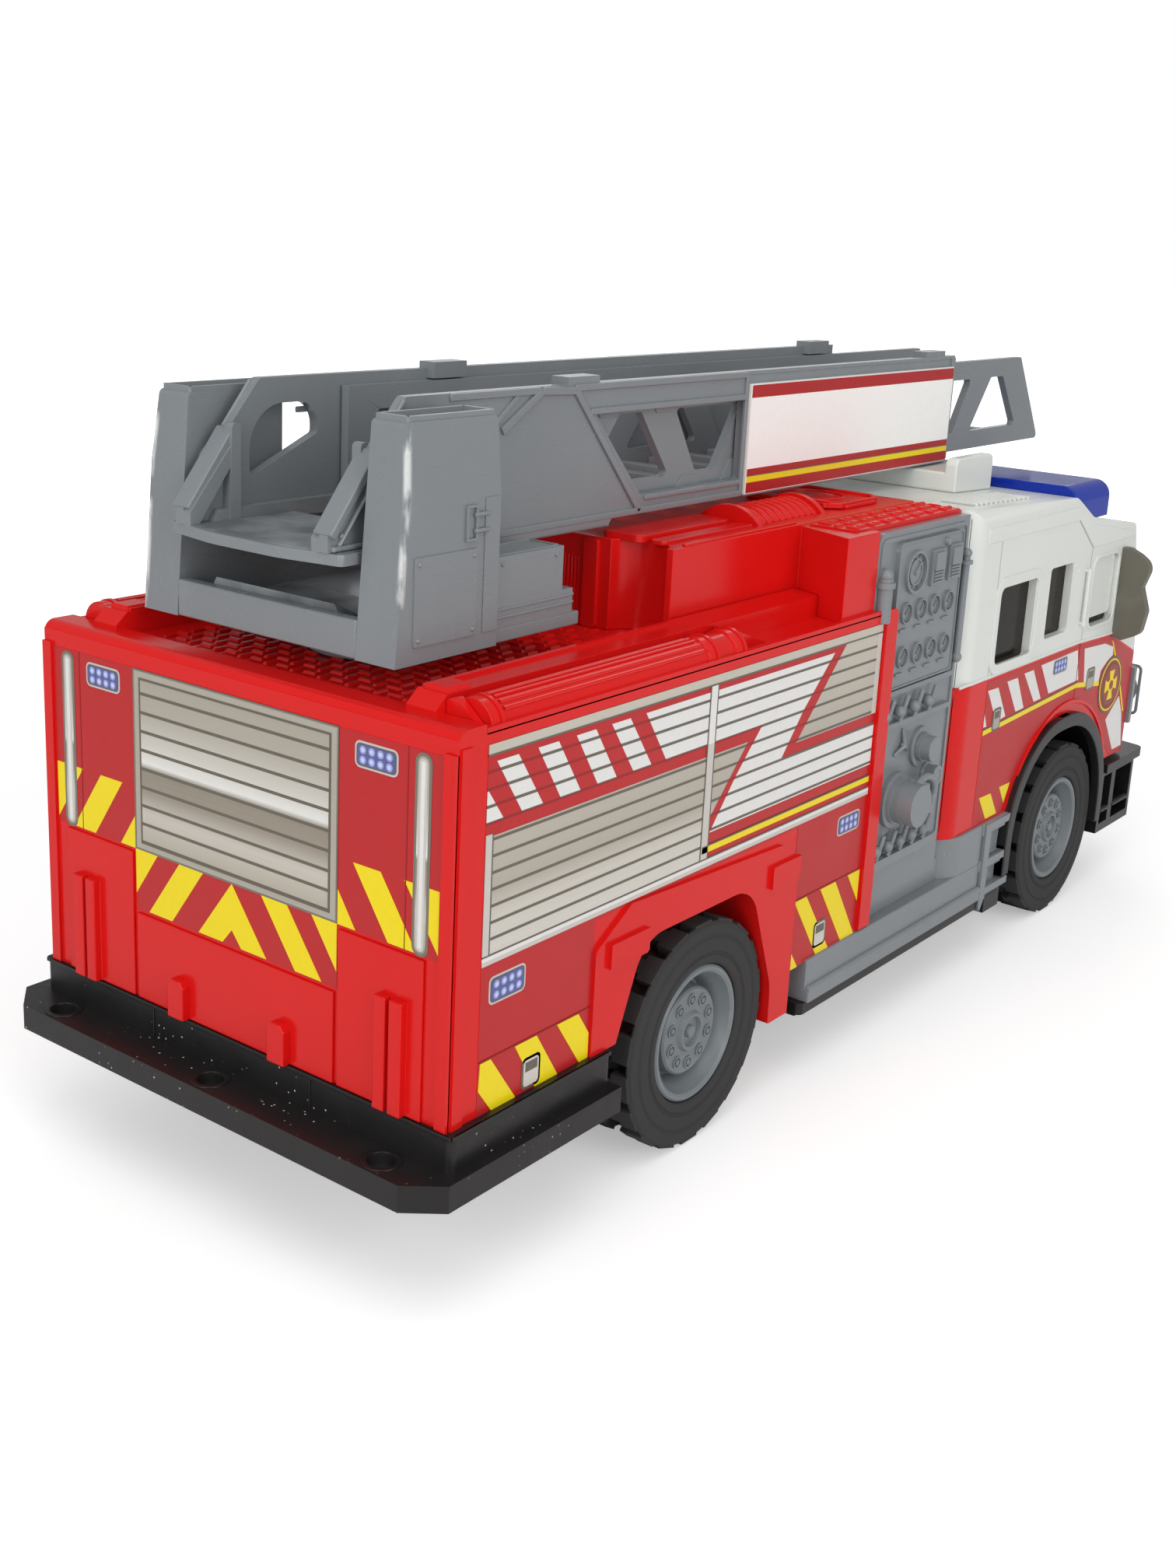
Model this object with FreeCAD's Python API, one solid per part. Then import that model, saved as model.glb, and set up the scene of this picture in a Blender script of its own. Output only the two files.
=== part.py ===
"""Toy ladder fire engine, about 310 mm long, as FreeCAD solids.

Millimetres. The vehicle drives towards -Y, its left side is +X and +Z is up. The origin is on the
ground, under the middle of the toy's box. One STEP file per node goes to parts/.
"""
import FreeCAD, Part
import math
import os

V = FreeCAD.Vector

# Body, heights above the ground
BODY_HALF = 50.8
BODY_BOTTOM, DECK, CURB_TOP = 32.0, 97.9, 102.2
FLOOR_BOTTOM, SILL, RUNNING_BOARD_TOP, PLINTH_TOP = 13.7, 17.3, 26.8, 30.5
BODY_REAR, BODY_FRONT = 145.7, 6.3
SLAB_BOTTOM, SLAB_TOP, SLAB_HALF, SLAB_REAR = 20.8, 25.7, 55.0, 154.9
SKIRT_HALF, SKIRT_REAR, SKIRT_FRONT = 52.5, 146.5, 103.1
HOUSING_REAR, HOUSING_TOP, HOUSING_HALF = 67.7, 115.8, 35.2
CURB_IN, CURB_OUT = 35.7, 42.0
SCREW_HOLES_X, SCREW_HOLES_Y, SCREW_HOLE_R = (-41.5, 0.0, 41.5), 151.0, 2.4
PANEL_FACE, PANEL_BACK, PANEL_TOP, PANEL_REAR = 49.3, 38.0, 114.6, 13.1

# Cab
CAB_HALF, CAB_WALL = BODY_HALF, 2.0
CAB_REAR, CAB_FRONT, CAB_BOTTOM, BELT, ROOF, ROOF_FRONT = -28.9, -143.6, 36.8, 74.0, 115.2, 113.0
BUMPER_FRONT = -154.9

# Wheels
TYRE_R, RIM_R, WHEEL_WIDTH, WHEEL_OUT = 23.3, 14.0, 18.0, 50.6
WHEEL_IN = WHEEL_OUT - WHEEL_WIDTH
REAR_AXLE_Y, FRONT_AXLE_Y = 71.4, -99.5
AXLE_R, AXLE_PLAY = 1.6, 0.08
WELL_HALF = 29.5
FLARE_HALF, FLARE_FOOT, FLARE_WALL = 52.4, 20.0, 1.6
# Outer outline of the front wheel arch, columns Y, Z, corner radius
FLARE = [(-125.6, 10.0, 0), (-125.6, 56.0, 30.0), (-62.5, 56.0, 28.0), (-62.5, 10.0, 0)]

# Turntable and ladder
TURN_Y = 110.8
TABLE_BOTTOM, TRAY_TOP = 104.0, 106.5
DISC_R, DISC_GAP = 12.5, 0.2
SPINDLE_R, SPINDLE_PLAY, SPINDLE_DEPTH = 6.0, 0.1, 14.0
COLUMN_IN, COLUMN_OUT = 21.8, 30.7
PIVOT_Y, PIVOT_Z, PIN_R, PIN_PLAY = 131.0, 131.0, 2.5, 0.1
LADDER_OUT, LADDER_WALL = 18.4, 2.0
LADDER_BOTTOM, LADDER_TOP = 119.2, 145.4
OUTER_FRONT = -77.2
INNER_OUT, INNER_WALL, INNER_BOTTOM, INNER_REAR = 16.0, 1.8, 120.7, 104.0
SIGN_THICK = 1.1
INNER_TOP, INNER_BAYS, INNER_PITCH, INNER_FIRST = 143.3, 8, 27.57, 84.6


def box(x0, x1, y0, y1, z0, z1):
    """Box between two corners given as spans along X, Y and Z."""
    corner = V(min(x0, x1), min(y0, y1), min(z0, z1))
    return Part.makeBox(abs(x1 - x0), abs(y1 - y0), abs(z1 - z0), corner)


def rod(start, axis, radius, length):
    """Cylinder from start along axis."""
    return Part.makeCylinder(radius, length, V(*start), V(*axis))


def fuse(pieces):
    """One shape from a list of touching solids."""
    first, rest = pieces[0], pieces[1:]
    return first.fuse(rest).removeSplitter() if rest else first


def mirrored(shape):
    """The same shape on the other side of the vehicle."""
    return shape.mirror(V(0, 0, 0), V(1, 0, 0))


def both(shape):
    """The shape and its mirror image."""
    return [shape, mirrored(shape)]


def placed(plane, point, level):
    """A flat point lifted into space: plane 'yz', 'xz' or 'xy' at the given level."""
    a, b = point
    return {"yz": V(level, a, b), "xz": V(a, level, b), "xy": V(a, b, level)}[plane]


def outline(plane, table, level):
    """Closed wire through the table's points; a third number rounds that corner."""
    points = [V(row[0], row[1], 0) for row in table]
    radii = [row[2] if len(row) > 2 else 0 for row in table]
    corners = []
    for i, here in enumerate(points):
        if not radii[i]:
            corners.append((here, here, None))
            continue
        back = (points[i - 1] - here).normalize()
        ahead = (points[(i + 1) % len(points)] - here).normalize()
        half_turn = back.getAngle(ahead) / 2
        reach = radii[i] / math.tan(half_turn)
        middle = (back + ahead).normalize()
        depth = radii[i] / math.sin(half_turn) - radii[i]
        corners.append((here + back * reach, here + ahead * reach, here + middle * depth))
    edges = []
    lift = lambda p: placed(plane, (p.x, p.y), level)
    for i, (start, end, bulge) in enumerate(corners):
        if bulge:
            edges.append(Part.Arc(lift(start), lift(bulge), lift(end)).toShape())
        following = corners[(i + 1) % len(corners)][0]
        if (following - end).Length > 1e-6:
            edges.append(Part.LineSegment(lift(end), lift(following)).toShape())
    return Part.Wire(edges)


def slab(plane, table, low, high):
    """Solid between two levels with the table's outline."""
    along = {"yz": V(1, 0, 0), "xz": V(0, 1, 0), "xy": V(0, 0, 1)}[plane]
    return Part.Face(outline(plane, table, low)).extrude(along * (high - low))


def rounded_box(x0, x1, y0, y1, z0, z1, radius):
    """Box whose four upright edges are rounded."""
    table = [(x0, y0, radius), (x1, y0, radius), (x1, y1, radius), (x0, y1, radius)]
    return slab("xy", table, z0, z1)


def turned(profile, y, z):
    """Solid of revolution about X through y, z, from (x, radius) points of the +X side."""
    wire = Part.makePolygon([V(x, y, z + r) for x, r in profile + profile[:1]])
    return Part.Face(wire).revolve(V(0, y, z), V(1, 0, 0), 360)


# ---------------------------------------------------------------- rear body

def rear_arch(low, high):
    """Wheel arch opening of the rear body, columns Y, Z, corner radius."""
    table = [(100.8, low), (100.8, 32.0), (93.5, 50.1, 9.0), (57.0, 50.1, 9.0), (47.2, 26.0, 8.0), (46.7, low)]
    return slab("yz", table, -high, high)


def rear_body():
    side = [(BODY_REAR, BODY_BOTTOM), (BODY_REAR, DECK), (BODY_FRONT, DECK), (BODY_FRONT, RUNNING_BOARD_TOP),
            (39.4, RUNNING_BOARD_TOP), (39.4, SILL), (46.7, SILL), (60.4, BODY_BOTTOM)]
    block = slab("yz", side, -BODY_HALF, BODY_HALF)
    core = box(-38, 38, CAB_REAR, BODY_FRONT, BODY_BOTTOM, DECK)
    lip_table = [(139.1, DECK - 1), (BODY_REAR, DECK - 1), (BODY_REAR, DECK + 1.4, 2.2), (139.1, DECK + 1.4)]
    lip = slab("yz", lip_table, -BODY_HALF, BODY_HALF)
    curb = slab("yz", [(141.2, DECK - 1), (141.2, 100.0), (138.6, CURB_TOP), (21.0, CURB_TOP), (21.0, DECK - 1)],
                CURB_IN, CURB_OUT)
    body = fuse([block, core, lip] + both(curb))
    body = body.cut(rear_arch(10.0, BODY_HALF + 1))
    spine = box(-WELL_HALF, WELL_HALF, CAB_REAR - 1, BODY_REAR - 2, 10, BODY_BOTTOM)
    bore_depth = SPINDLE_DEPTH + 0.5
    bore = rod((0, TURN_Y, DECK - bore_depth), (0, 0, 1), SPINDLE_R + SPINDLE_PLAY, bore_depth + 2)
    return body.cut(spine).cut(bore)


def roll_covers():
    """Ribbed half-round covers that lie along both deck edges."""
    centre, radius, foot = 45.8, 3.9, DECK
    start, length = 63.0, 74.0
    barrel = rod((centre, start, foot), (0, 1, 0), radius, length)
    collar_places = [start, start + 9.0, start + length - 3.5]
    collars = [rod((centre, y, foot), (0, 1, 0), radius + 0.4, 3.5) for y in collar_places]
    cover = fuse([barrel] + collars).common(box(40, 52, 0, 150, foot, foot + 10))
    cover = cover.cut(box(40, 42.05, 0, 150, foot, foot + 10))
    return Part.Compound(both(cover))


def rear_bumper():
    """Black tray around the body's foot: slab with cut corners, skirt and three screw holes."""
    plan = [(-SLAB_HALF, SKIRT_FRONT), (-SLAB_HALF, 149.6), (-48.7, SLAB_REAR), (48.7, SLAB_REAR),
            (SLAB_HALF, 149.6), (SLAB_HALF, SKIRT_FRONT)]
    tray = slab("xy", plan, SLAB_BOTTOM, SLAB_TOP)
    skirt = rounded_box(-SKIRT_HALF, SKIRT_HALF, SKIRT_FRONT, SKIRT_REAR, SLAB_TOP, BODY_BOTTOM, 1.5)
    inner = box(-WELL_HALF, WELL_HALF, 90, 143.7, 10, BODY_BOTTOM + 1)
    tray = fuse([tray, skirt]).cut(inner)
    for x in SCREW_HOLES_X:
        tray = tray.cut(rod((x, SCREW_HOLES_Y, SLAB_BOTTOM - 1), (0, 0, 1), SCREW_HOLE_R, SLAB_TOP - SLAB_BOTTOM + 2))
    return tray


def tail_panels():
    """The three raised panels as one compound, ribs and tabs included."""
    face, high, low = BODY_REAR, 0.8, 0.5
    middle = fuse([box(-25.2, 25.2, face, face + low, BODY_BOTTOM, 48.8)]
                  + both(box(11.2, 14.8, face, face + high, BODY_BOTTOM, 38.8)))
    side = fuse([box(26.2, 45.2, face, face + low, BODY_BOTTOM, 60.4),
                 box(35.8, 38.4, face, face + high, BODY_BOTTOM, 52.0),
                 box(39.2, 42.0, face, face + high, BODY_BOTTOM, 52.0)])
    return Part.Compound([middle] + both(side))


def rear_fenders():
    """Thin raised panels round the rear arches, with a blister on each side of the arch."""
    face, stand = BODY_HALF, 0.7
    table = [(108.2, 32.0), (108.2, 52.0, 2.0), (98.0, 58.3, 3.0), (46.0, 56.0, 3.0), (39.4, 52.0, 2.0),
             (39.4, SILL), (46.7, SILL), (60.4, 32.0)]
    panel = slab("yz", table, face, face + stand).cut(rear_arch(10.0, BODY_HALF + 2))
    blisters = [box(face, face + 1.5, 92.9, 104.5, 47.8, 52.5), box(face, face + 1.5, 39.9, 50.5, 47.8, 52.5)]
    return Part.Compound(both(fuse([panel] + blisters).cut(rear_arch(10.0, BODY_HALF + 3))))


def equipment_housing():
    """Red superstructure between turntable and cab, with a tread-topped box on each side."""
    scoop_x, scoop_r = 27.2, 6.6
    main = box(-HOUSING_HALF, HOUSING_HALF, CAB_REAR, HOUSING_REAR, DECK, HOUSING_TOP)
    for x in (-scoop_x, scoop_x):
        main = main.cut(rod((x, HOUSING_REAR + 1.5, DECK), (0, 0, 1), scoop_r, 30))
    side_box = slab("xy", [(HOUSING_HALF, 21.0), (49.6, 27.0), (49.6, CAB_REAR), (HOUSING_HALF, CAB_REAR)],
                    DECK, HOUSING_TOP - 0.4)
    side_box = side_box.cut(box(47.0, 52.0, CAB_REAR - 1, 13.6, DECK - 1, HOUSING_TOP))
    shelf_cut = box(CURB_IN - 0.6, CURB_OUT, 21.0, 30.0, DECK, CURB_TOP)
    side_box = side_box.cut(shelf_cut)
    return fuse([main] + both(side_box))


def hose_roll():
    """Half-round ribbed roll on the housing's roof, in a shallow frame."""
    centre, radius, drop = -23.6, 9.0, 6.4
    barrel = rod((centre, 4.7, HOUSING_TOP - drop), (0, 1, 0), radius, 26.3)
    roll = barrel.common(box(centre - 10, centre + 10, 0, 40, HOUSING_TOP, HOUSING_TOP + 5))
    return roll


def roof_hatch():
    """Low eight-sided hatch on the housing's roof."""
    table = [(-31.5, -5.0), (-31.5, -17.0), (-27.0, -21.5), (-10.0, -21.5),
             (-5.5, -17.0), (-5.5, -5.0), (-10.0, -0.5), (-27.0, -0.5)]
    return slab("xy", table, HOUSING_TOP, HOUSING_TOP + 0.8)


# ---------------------------------------------------------------- pump section and running gear

def pump_panel():
    """Control panel of the right side: tall frame, raised gauge plate, dividers and lever rows."""
    table = [(CAB_REAR, PLINTH_TOP), (CAB_REAR, PANEL_TOP), (PANEL_REAR, PANEL_TOP, 2.5),
             (PANEL_REAR, DECK), (BODY_FRONT, DECK), (BODY_FRONT, PLINTH_TOP)]
    panel = slab("yz", table, -PANEL_FACE, -PANEL_BACK)
    behind_frame = box(-47.0, -PANEL_BACK, CAB_REAR - 1, PANEL_REAR + 1, DECK, PANEL_TOP + 1)
    panel = panel.cut(behind_frame)
    gauge_plate = slab("yz", [(5.5, 80.0), (5.5, 112.0, 2.0), (-24.3, 112.0, 2.0), (-24.3, 80.0)],
                       -PANEL_FACE - 0.9, -PANEL_FACE)
    dividers = [box(-PANEL_FACE - 1.2, -PANEL_FACE, -25.5, 5.5, z, z + 1.2) for z in (78.4, 71.0)]
    return fuse([panel, gauge_plate] + dividers)


def port(y, z, flange_r, flange_out, pipe_r, pipe_out):
    """Round flange with a shorter-radius pipe end on it, on the right pump panel's face."""
    out = (-1, 0, 0)
    flange = rod((-PANEL_FACE, y, z), out, flange_r, flange_out)
    return fuse([flange, rod((-PANEL_FACE - flange_out, y, z), out, pipe_r, pipe_out)])


def pump_ports():
    """Suction port, outlets and step that stand on the right pump panel; sizes as port's columns."""
    table = [(-3.0, 53.8, 6.4, 1.6, 4.8, 6.0), (-13.5, 64.0, 4.6, 1.2, 2.9, 3.4), (-18.0, 56.7, 2.6, 1.0, 2.2, 2.6)]
    step = box(-PANEL_FACE - 1.6, -PANEL_FACE, -24.0, 5.8, 38.6, 41.0)
    return Part.Compound([port(*row) for row in table] + [step])


def running_boards():
    """Grey boards between the axles, with the plinth under the pump panel and the cab's rear corner."""
    board = box(38.0, 51.8, -49.9, 32.5, SILL, RUNNING_BOARD_TOP)
    board = board.fuse(box(51.0, 52.6, -49.9, 32.5, SILL, 20.4))
    plinth = box(38.0, 51.6, -46.0, BODY_FRONT, RUNNING_BOARD_TOP, PLINTH_TOP)
    corner = slab("xy", [(38.0, CAB_REAR), (51.6, CAB_REAR, 5.5), (51.6, -49.9), (38.0, -49.9)], RUNNING_BOARD_TOP, CAB_BOTTOM)
    return Part.Compound(both(fuse([board, plinth, corner])))


def cab_steps():
    """Stepped treads behind each front wheel."""
    rear = -49.9
    riser = box(38.0, 50.4, -63.0, rear, 15.2, CAB_BOTTOM)
    treads = [box(38.0, 51.8, -66.5, rear, z, z + 3.0) for z in (16.0, 24.2)]
    top = box(38.0, 51.8, -68.8, rear, CAB_BOTTOM - 3.3, CAB_BOTTOM)
    return Part.Compound(both(fuse([riser, top] + treads).cut(front_arch(60.0, 0.4))))


def base_plate():
    """Black floor pan: spine with the axle bearings, middle plate and wheel well cheeks."""
    spine = box(-WELL_HALF, WELL_HALF, -136.0, 143.7, SILL, BODY_BOTTOM)
    middle = box(-50.0, 50.0, -49.9, 33.1, FLOOR_BOTTOM, SILL)
    keel = box(-WELL_HALF + 3, WELL_HALF - 3, -130.0, 140.0, 15.0, SILL)
    pan = fuse([spine, middle, keel])
    for y in (REAR_AXLE_Y, FRONT_AXLE_Y):
        pan = pan.cut(rod((-60, y, TYRE_R), (1, 0, 0), AXLE_R + AXLE_PLAY, 120))
    return pan


def rear_wheel_wells():
    """Black block that closes the rear arches inside."""
    return rear_arch(10.0, WELL_HALF).common(box(-WELL_HALF, WELL_HALF, 40, 110, BODY_BOTTOM, 60))


def front_arch(half, grow=0.0):
    """Everything inside the front wheel arch's outline, made larger by grow."""
    outward = [(-grow, 0), (-grow, grow), (grow, grow), (grow, 0)]
    table = [(y + dy, z + dz, radius and radius + grow) for (y, z, radius), (dy, dz) in zip(FLARE, outward)]
    return slab("yz", table, -half, half)


def front_flares():
    """Front wheel arches: a lip on each side, the liner behind it and the middle block."""
    tunnel = front_arch(FLARE_HALF).cut(front_arch(FLARE_HALF + 1, -FLARE_WALL))
    tunnel = tunnel.common(box(-60, 60, -135, -60, FLARE_FOOT, 60))
    middle = front_arch(WELL_HALF).common(box(-60, 60, -135, -60, BODY_BOTTOM, 60))
    return fuse([tunnel, middle]).cut(box(-WELL_HALF, WELL_HALF, -140, -60, 10, BODY_BOTTOM))


# ---------------------------------------------------------------- cab

# Foot of the white upper cab from the front to the doors, columns Y, Z
BELT_LINE = [(-140.0, 65.5), (-121.3, 73.0), (-98.2, BELT)]


def cab_prism(half, grow=0.0):
    """Full-height cab block; grow moves the front and top inwards."""
    front = CAB_FRONT + grow
    table = [(CAB_REAR - grow, CAB_BOTTOM), (CAB_REAR - grow, ROOF - grow), (-86.6 + grow / 2, ROOF_FRONT - grow, 2.0),
             (-98.2 + grow / 2, 107.1 - grow, 2.0), (-129.0 + grow, 102.4 - grow, 3.0),
             (-137.6 + grow, BELT, 20.0), (front, 57.0, 20.0), (front, CAB_BOTTOM)]
    return slab("yz", table, -half, half)


def cab_block():
    """Rounded outer block of the whole cab."""
    block = cab_prism(CAB_HALF)
    plan = slab("xy", [(-CAB_HALF, CAB_REAR, 7.0), (CAB_HALF, CAB_REAR, 7.0), (CAB_HALF, CAB_FRONT - 0.4, 5.0),
                       (-CAB_HALF, CAB_FRONT - 0.4, 5.0)], 0, 200)
    top = slab("xz", [(-CAB_HALF, 0), (-CAB_HALF, ROOF, 3.5), (CAB_HALF, ROOF, 3.5), (CAB_HALF, 0)], -160, 0)
    return block.common(plan).common(top)


def cab_hollow():
    """Room inside the cab."""
    return cab_prism(CAB_HALF - CAB_WALL, CAB_WALL).common(
        box(-CAB_HALF, CAB_HALF, CAB_REAR - CAB_WALL, CAB_FRONT + 3.5, CAB_BOTTOM + CAB_WALL, 200))


def side_windows():
    """Side window cutters, columns Y rear, Y front, Z low, Z high, corner radius."""
    table = [(-46.7, -66.7, 76.1, 96.6, 1.0), (-75.1, -88.7, 78.8, 96.6, 1.0), (-103.0, -119.0, 77.6, 95.5, 1.0)]
    cutters = []
    for rear, front, low, high, radius in table:
        loop = [(rear, low, radius), (rear, high, radius), (front, high, radius), (front, low, radius)]
        cutters.append(slab("yz", loop, -60, 60))
    return cutters


def windscreen_cut():
    """Opening of the windscreen, seen from the front."""
    loop = [(-42.0, 70.5, 2.0), (42.0, 70.5, 2.0), (40.5, 97.5, 2.0), (-40.5, 97.5, 2.0)]
    return slab("xz", loop, -150, -122.5)


def upper_region():
    """Everything above the belt line."""
    table = [(0, BELT), (0, 200), (-160, 200), (-160, BELT_LINE[0][1])] + BELT_LINE
    return slab("yz", table, -80, 80)


def cab_upper():
    shell = cab_block().cut(cab_hollow()).common(upper_region())
    for cutter in side_windows() + [windscreen_cut()]:
        shell = shell.cut(cutter)
    return shell


def cab_lower():
    shell = cab_block().cut(cab_hollow()).cut(upper_region())
    shell = shell.cut(front_arch(60.0))
    return shell.cut(box(-WELL_HALF, WELL_HALF, -136.0, 0, 10, CAB_BOTTOM + CAB_WALL + 1))


def cab_glazing():
    """Smoked one-piece insert behind the side windows and the windscreen."""
    gap, thick = 0.05, 1.2
    outer = cab_prism(CAB_HALF - CAB_WALL - gap, CAB_WALL + gap)
    inner = cab_prism(CAB_HALF - CAB_WALL - gap - thick, CAB_WALL + gap + thick)
    band = box(-60, 60, -140, -40, 75.0, 98.6)
    return outer.cut(inner).cut(box(-60, 60, -40, 0, 0, 200)).common(band)


def ladder_cradle():
    """Rest block on the cab roof that the ladder lies in."""
    half, lip = 30.4, 3.2
    base = box(-half, half, -79.8, -59.3, ROOF_FRONT - 1, 118.8).cut(cab_block())
    ear = slab("yz", [(-59.3, ROOF), (-59.3, 122.3, 2.0), (-79.8, 122.3, 2.0), (-79.8, ROOF)], half - lip, half)
    return fuse([base] + both(ear))


def light_bar():
    """Blue bar across the roof whose ends wrap down over the roof's edge."""
    half = 50.2
    table = [(-half, 106.4), (-half, 115.4, 4.0), (half, 115.4, 4.0), (half, 106.4), (48.0, 106.4)]
    table += [(44.0, 111.0), (42.5, 105.0), (-42.5, 105.0), (-44.0, 111.0), (-48.0, 106.4)]
    bar = slab("xz", table, -108.7, -87.2)
    return bar.cut(cab_block())


def mirrors():
    """Two-lobed mirror arms that stand out at the front corners of the cab."""
    out, cab = 59.2, CAB_HALF
    table = [(cab, 72.5), (cab + 2.6, 71.8, 1.0), (58.2, 74.2, 2.5), (out, 80.5, 3.0), (57.2, 86.6, 1.0),
             (out, 92.8, 3.5), (55.5, 95.3, 2.0), (cab + 1.8, 96.6, 1.0), (cab, 96.6)]
    return Part.Compound(both(slab("xz", table, -123.8, -121.0)))


def bumper_slab(inset, low, high):
    """Slice of the front bumper, made smaller by inset at the ends and the front."""
    half, rear, front = 52.6 - inset, -126.6, BUMPER_FRONT + inset
    table = [(-half, rear), (half, rear), (half, front + 1.9, 3.0), (44.0, front, 8.0),
             (-44.0, front, 8.0), (-half, front + 1.9, 3.0)]
    return slab("xy", table, low, high)


def front_bumper():
    """Deep black bumper under a flange, with two openings in each end and a recessed front."""
    block = fuse([bumper_slab(1.2, 15.2, 33.0), bumper_slab(0.0, 33.0, 35.4)])
    for front, rear in ((-133.9, -128.2), (-148.4, -136.7)):
        block = block.cut(box(-60, 60, front, rear, 17.6, 31.6).cut(box(-47, 47, -160, -120, 0, 50)))
    block = block.cut(box(-24, 24, -160, -152.0, 19.5, 31.5))
    return block.cut(cab_block()).cut(box(-WELL_HALF, WELL_HALF, -136.0, -120, 10, BODY_BOTTOM))


def front_grille():
    """Grey grille with a lamp block at each end."""
    face, back = CAB_FRONT, CAB_FRONT + 3.0
    grille = box(-26.0, 26.0, face - 3.0, back, 42.0, 64.0)
    lamp = slab("xy", [(27.0, back), (27.0, face - 4.6), (43.0, face - 4.6, 3.0), (51.6, face + 0.6, 2.0), (51.6, back)],
                44.6, 60.4)
    bridge = box(-28.0, 28.0, face - 1.4, back, 46.0, 59.0)
    return fuse([grille, bridge] + both(lamp)).cut(cab_block())


# ---------------------------------------------------------------- wheels

def axle(y):
    """Steel rod that carries one pair of wheels."""
    return rod((-(WHEEL_OUT - 4.0), y, TYRE_R), (1, 0, 0), AXLE_R, 2 * (WHEEL_OUT - 4.0))


def rims(y):
    """Pair of dished rims; profile columns: X, radius."""
    profile = [(WHEEL_IN, 0), (WHEEL_IN, RIM_R), (WHEEL_OUT, RIM_R), (WHEEL_OUT, 12.4), (WHEEL_OUT - 1.2, 11.8),
               (WHEEL_OUT - 4.6, 10.6), (WHEEL_OUT - 4.6, 9.4), (WHEEL_OUT - 2.2, 8.9), (WHEEL_OUT - 2.2, 4.2),
               (WHEEL_OUT - 1.0, 3.2), (WHEEL_OUT - 1.0, 0)]
    hole = rod((WHEEL_IN - 1, y, TYRE_R), (1, 0, 0), AXLE_R, WHEEL_WIDTH - 3.0)
    return Part.Compound(both(turned(profile, y, TYRE_R).cut(hole)))


def tyres(y):
    """Pair of tyres with rounded shoulders; profile columns: X, radius."""
    outer, inner = WHEEL_OUT - 0.3, WHEEL_IN + 0.3
    profile = [(inner, RIM_R), (inner, 21.6), (inner + 1.6, TYRE_R), (outer - 1.6, TYRE_R), (outer, 21.6),
               (outer, 16.0), (outer - 0.8, RIM_R)]
    return Part.Compound(both(turned(profile, y, TYRE_R)))


# ---------------------------------------------------------------- turntable

def turntable_base():
    """Tray with its round foot and the spindle that turns in the deck."""
    tray = box(-COLUMN_IN, COLUMN_IN, 113.0, 136.0, TABLE_BOTTOM, TRAY_TOP)
    front = box(-COLUMN_OUT + 0.8, COLUMN_OUT - 0.8, 89.2, 113.4, TABLE_BOTTOM, TRAY_TOP)
    foot = rod((0, TURN_Y, DECK + DISC_GAP), (0, 0, 1), DISC_R, TABLE_BOTTOM - DECK - DISC_GAP)
    spindle = rod((0, TURN_Y, DECK - SPINDLE_DEPTH), (0, 0, 1), SPINDLE_R, SPINDLE_DEPTH + 2)
    return fuse([tray, front, foot, spindle])


def turntable_columns():
    """Hollow-looking side towers with the pivot pins and the stepped blocks in front."""
    side = [(138.6, TABLE_BOTTOM), (135.5, 143.0, 1.0), (113.4, 143.0, 1.0), (113.4, TABLE_BOTTOM)]
    tower = slab("yz", side, COLUMN_IN, COLUMN_OUT)
    taper = slab("xz", [(COLUMN_IN - 1, 100), (COLUMN_OUT, 100), (COLUMN_OUT, 130.7), (28.7, 150), (COLUMN_IN - 1, 150)],
                 80, 150)
    tower = tower.common(taper)
    pin = rod((LADDER_OUT - LADDER_WALL + 0.2, PIVOT_Y, PIVOT_Z), (1, 0, 0), PIN_R, COLUMN_IN - LADDER_OUT + LADDER_WALL)
    blocks = [box(COLUMN_IN, 29.9, 94.5, 113.4, 111.0, 119.0), box(COLUMN_IN, 29.9, 91.4, 113.4, TRAY_TOP, 111.0)]
    return Part.Compound(both(fuse([tower, pin] + blocks)))


def turntable_beam():
    """Cross beam that joins the two towers at the rear."""
    return box(-COLUMN_IN, COLUMN_IN, 136.0, 138.5, TABLE_BOTTOM, 110.6)


# ---------------------------------------------------------------- ladder, lower section

def outer_frames():
    """Side frames of the lower section with their windows, guide clips and pivot holes."""
    side = [(131.8, 121.4), (141.6, 121.4), (141.6, 124.2, 0.8), (131.2, 137.2), (123.9, LADDER_TOP, 1.0), (OUTER_FRONT, LADDER_TOP),
            (OUTER_FRONT, LADDER_BOTTOM), (65.6, LADDER_BOTTOM), (65.6, 117.8), (101.3, 117.8),
            (101.3, LADDER_BOTTOM), (129.0, LADDER_BOTTOM)]
    window = [(72.5, 140.4, 1.0), (19.4, 140.4, 1.0), (19.4, 122.9, 1.0), (55.7, 122.9, 1.0)]
    rear_hole = [(126.4, 128.0, 0.8), (126.4, 140.8, 8.0), (109.8, 140.8, 4.5), (109.8, 134.9, 0.8)]
    frame = slab("yz", side, LADDER_OUT - LADDER_WALL, LADDER_OUT)
    for loop in (window, rear_hole):
        frame = frame.cut(slab("yz", loop, 0, 40))
    frame = frame.cut(rod((0, PIVOT_Y, PIVOT_Z), (1, 0, 0), PIN_R + PIN_PLAY, 40))
    clips = [box(INNER_OUT - 1.6, LADDER_OUT, y - 9.5, y, INNER_TOP + 0.3, 146.7) for y in (80.3, -62.0)]
    return Part.Compound(both(fuse([frame] + clips)))


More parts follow.
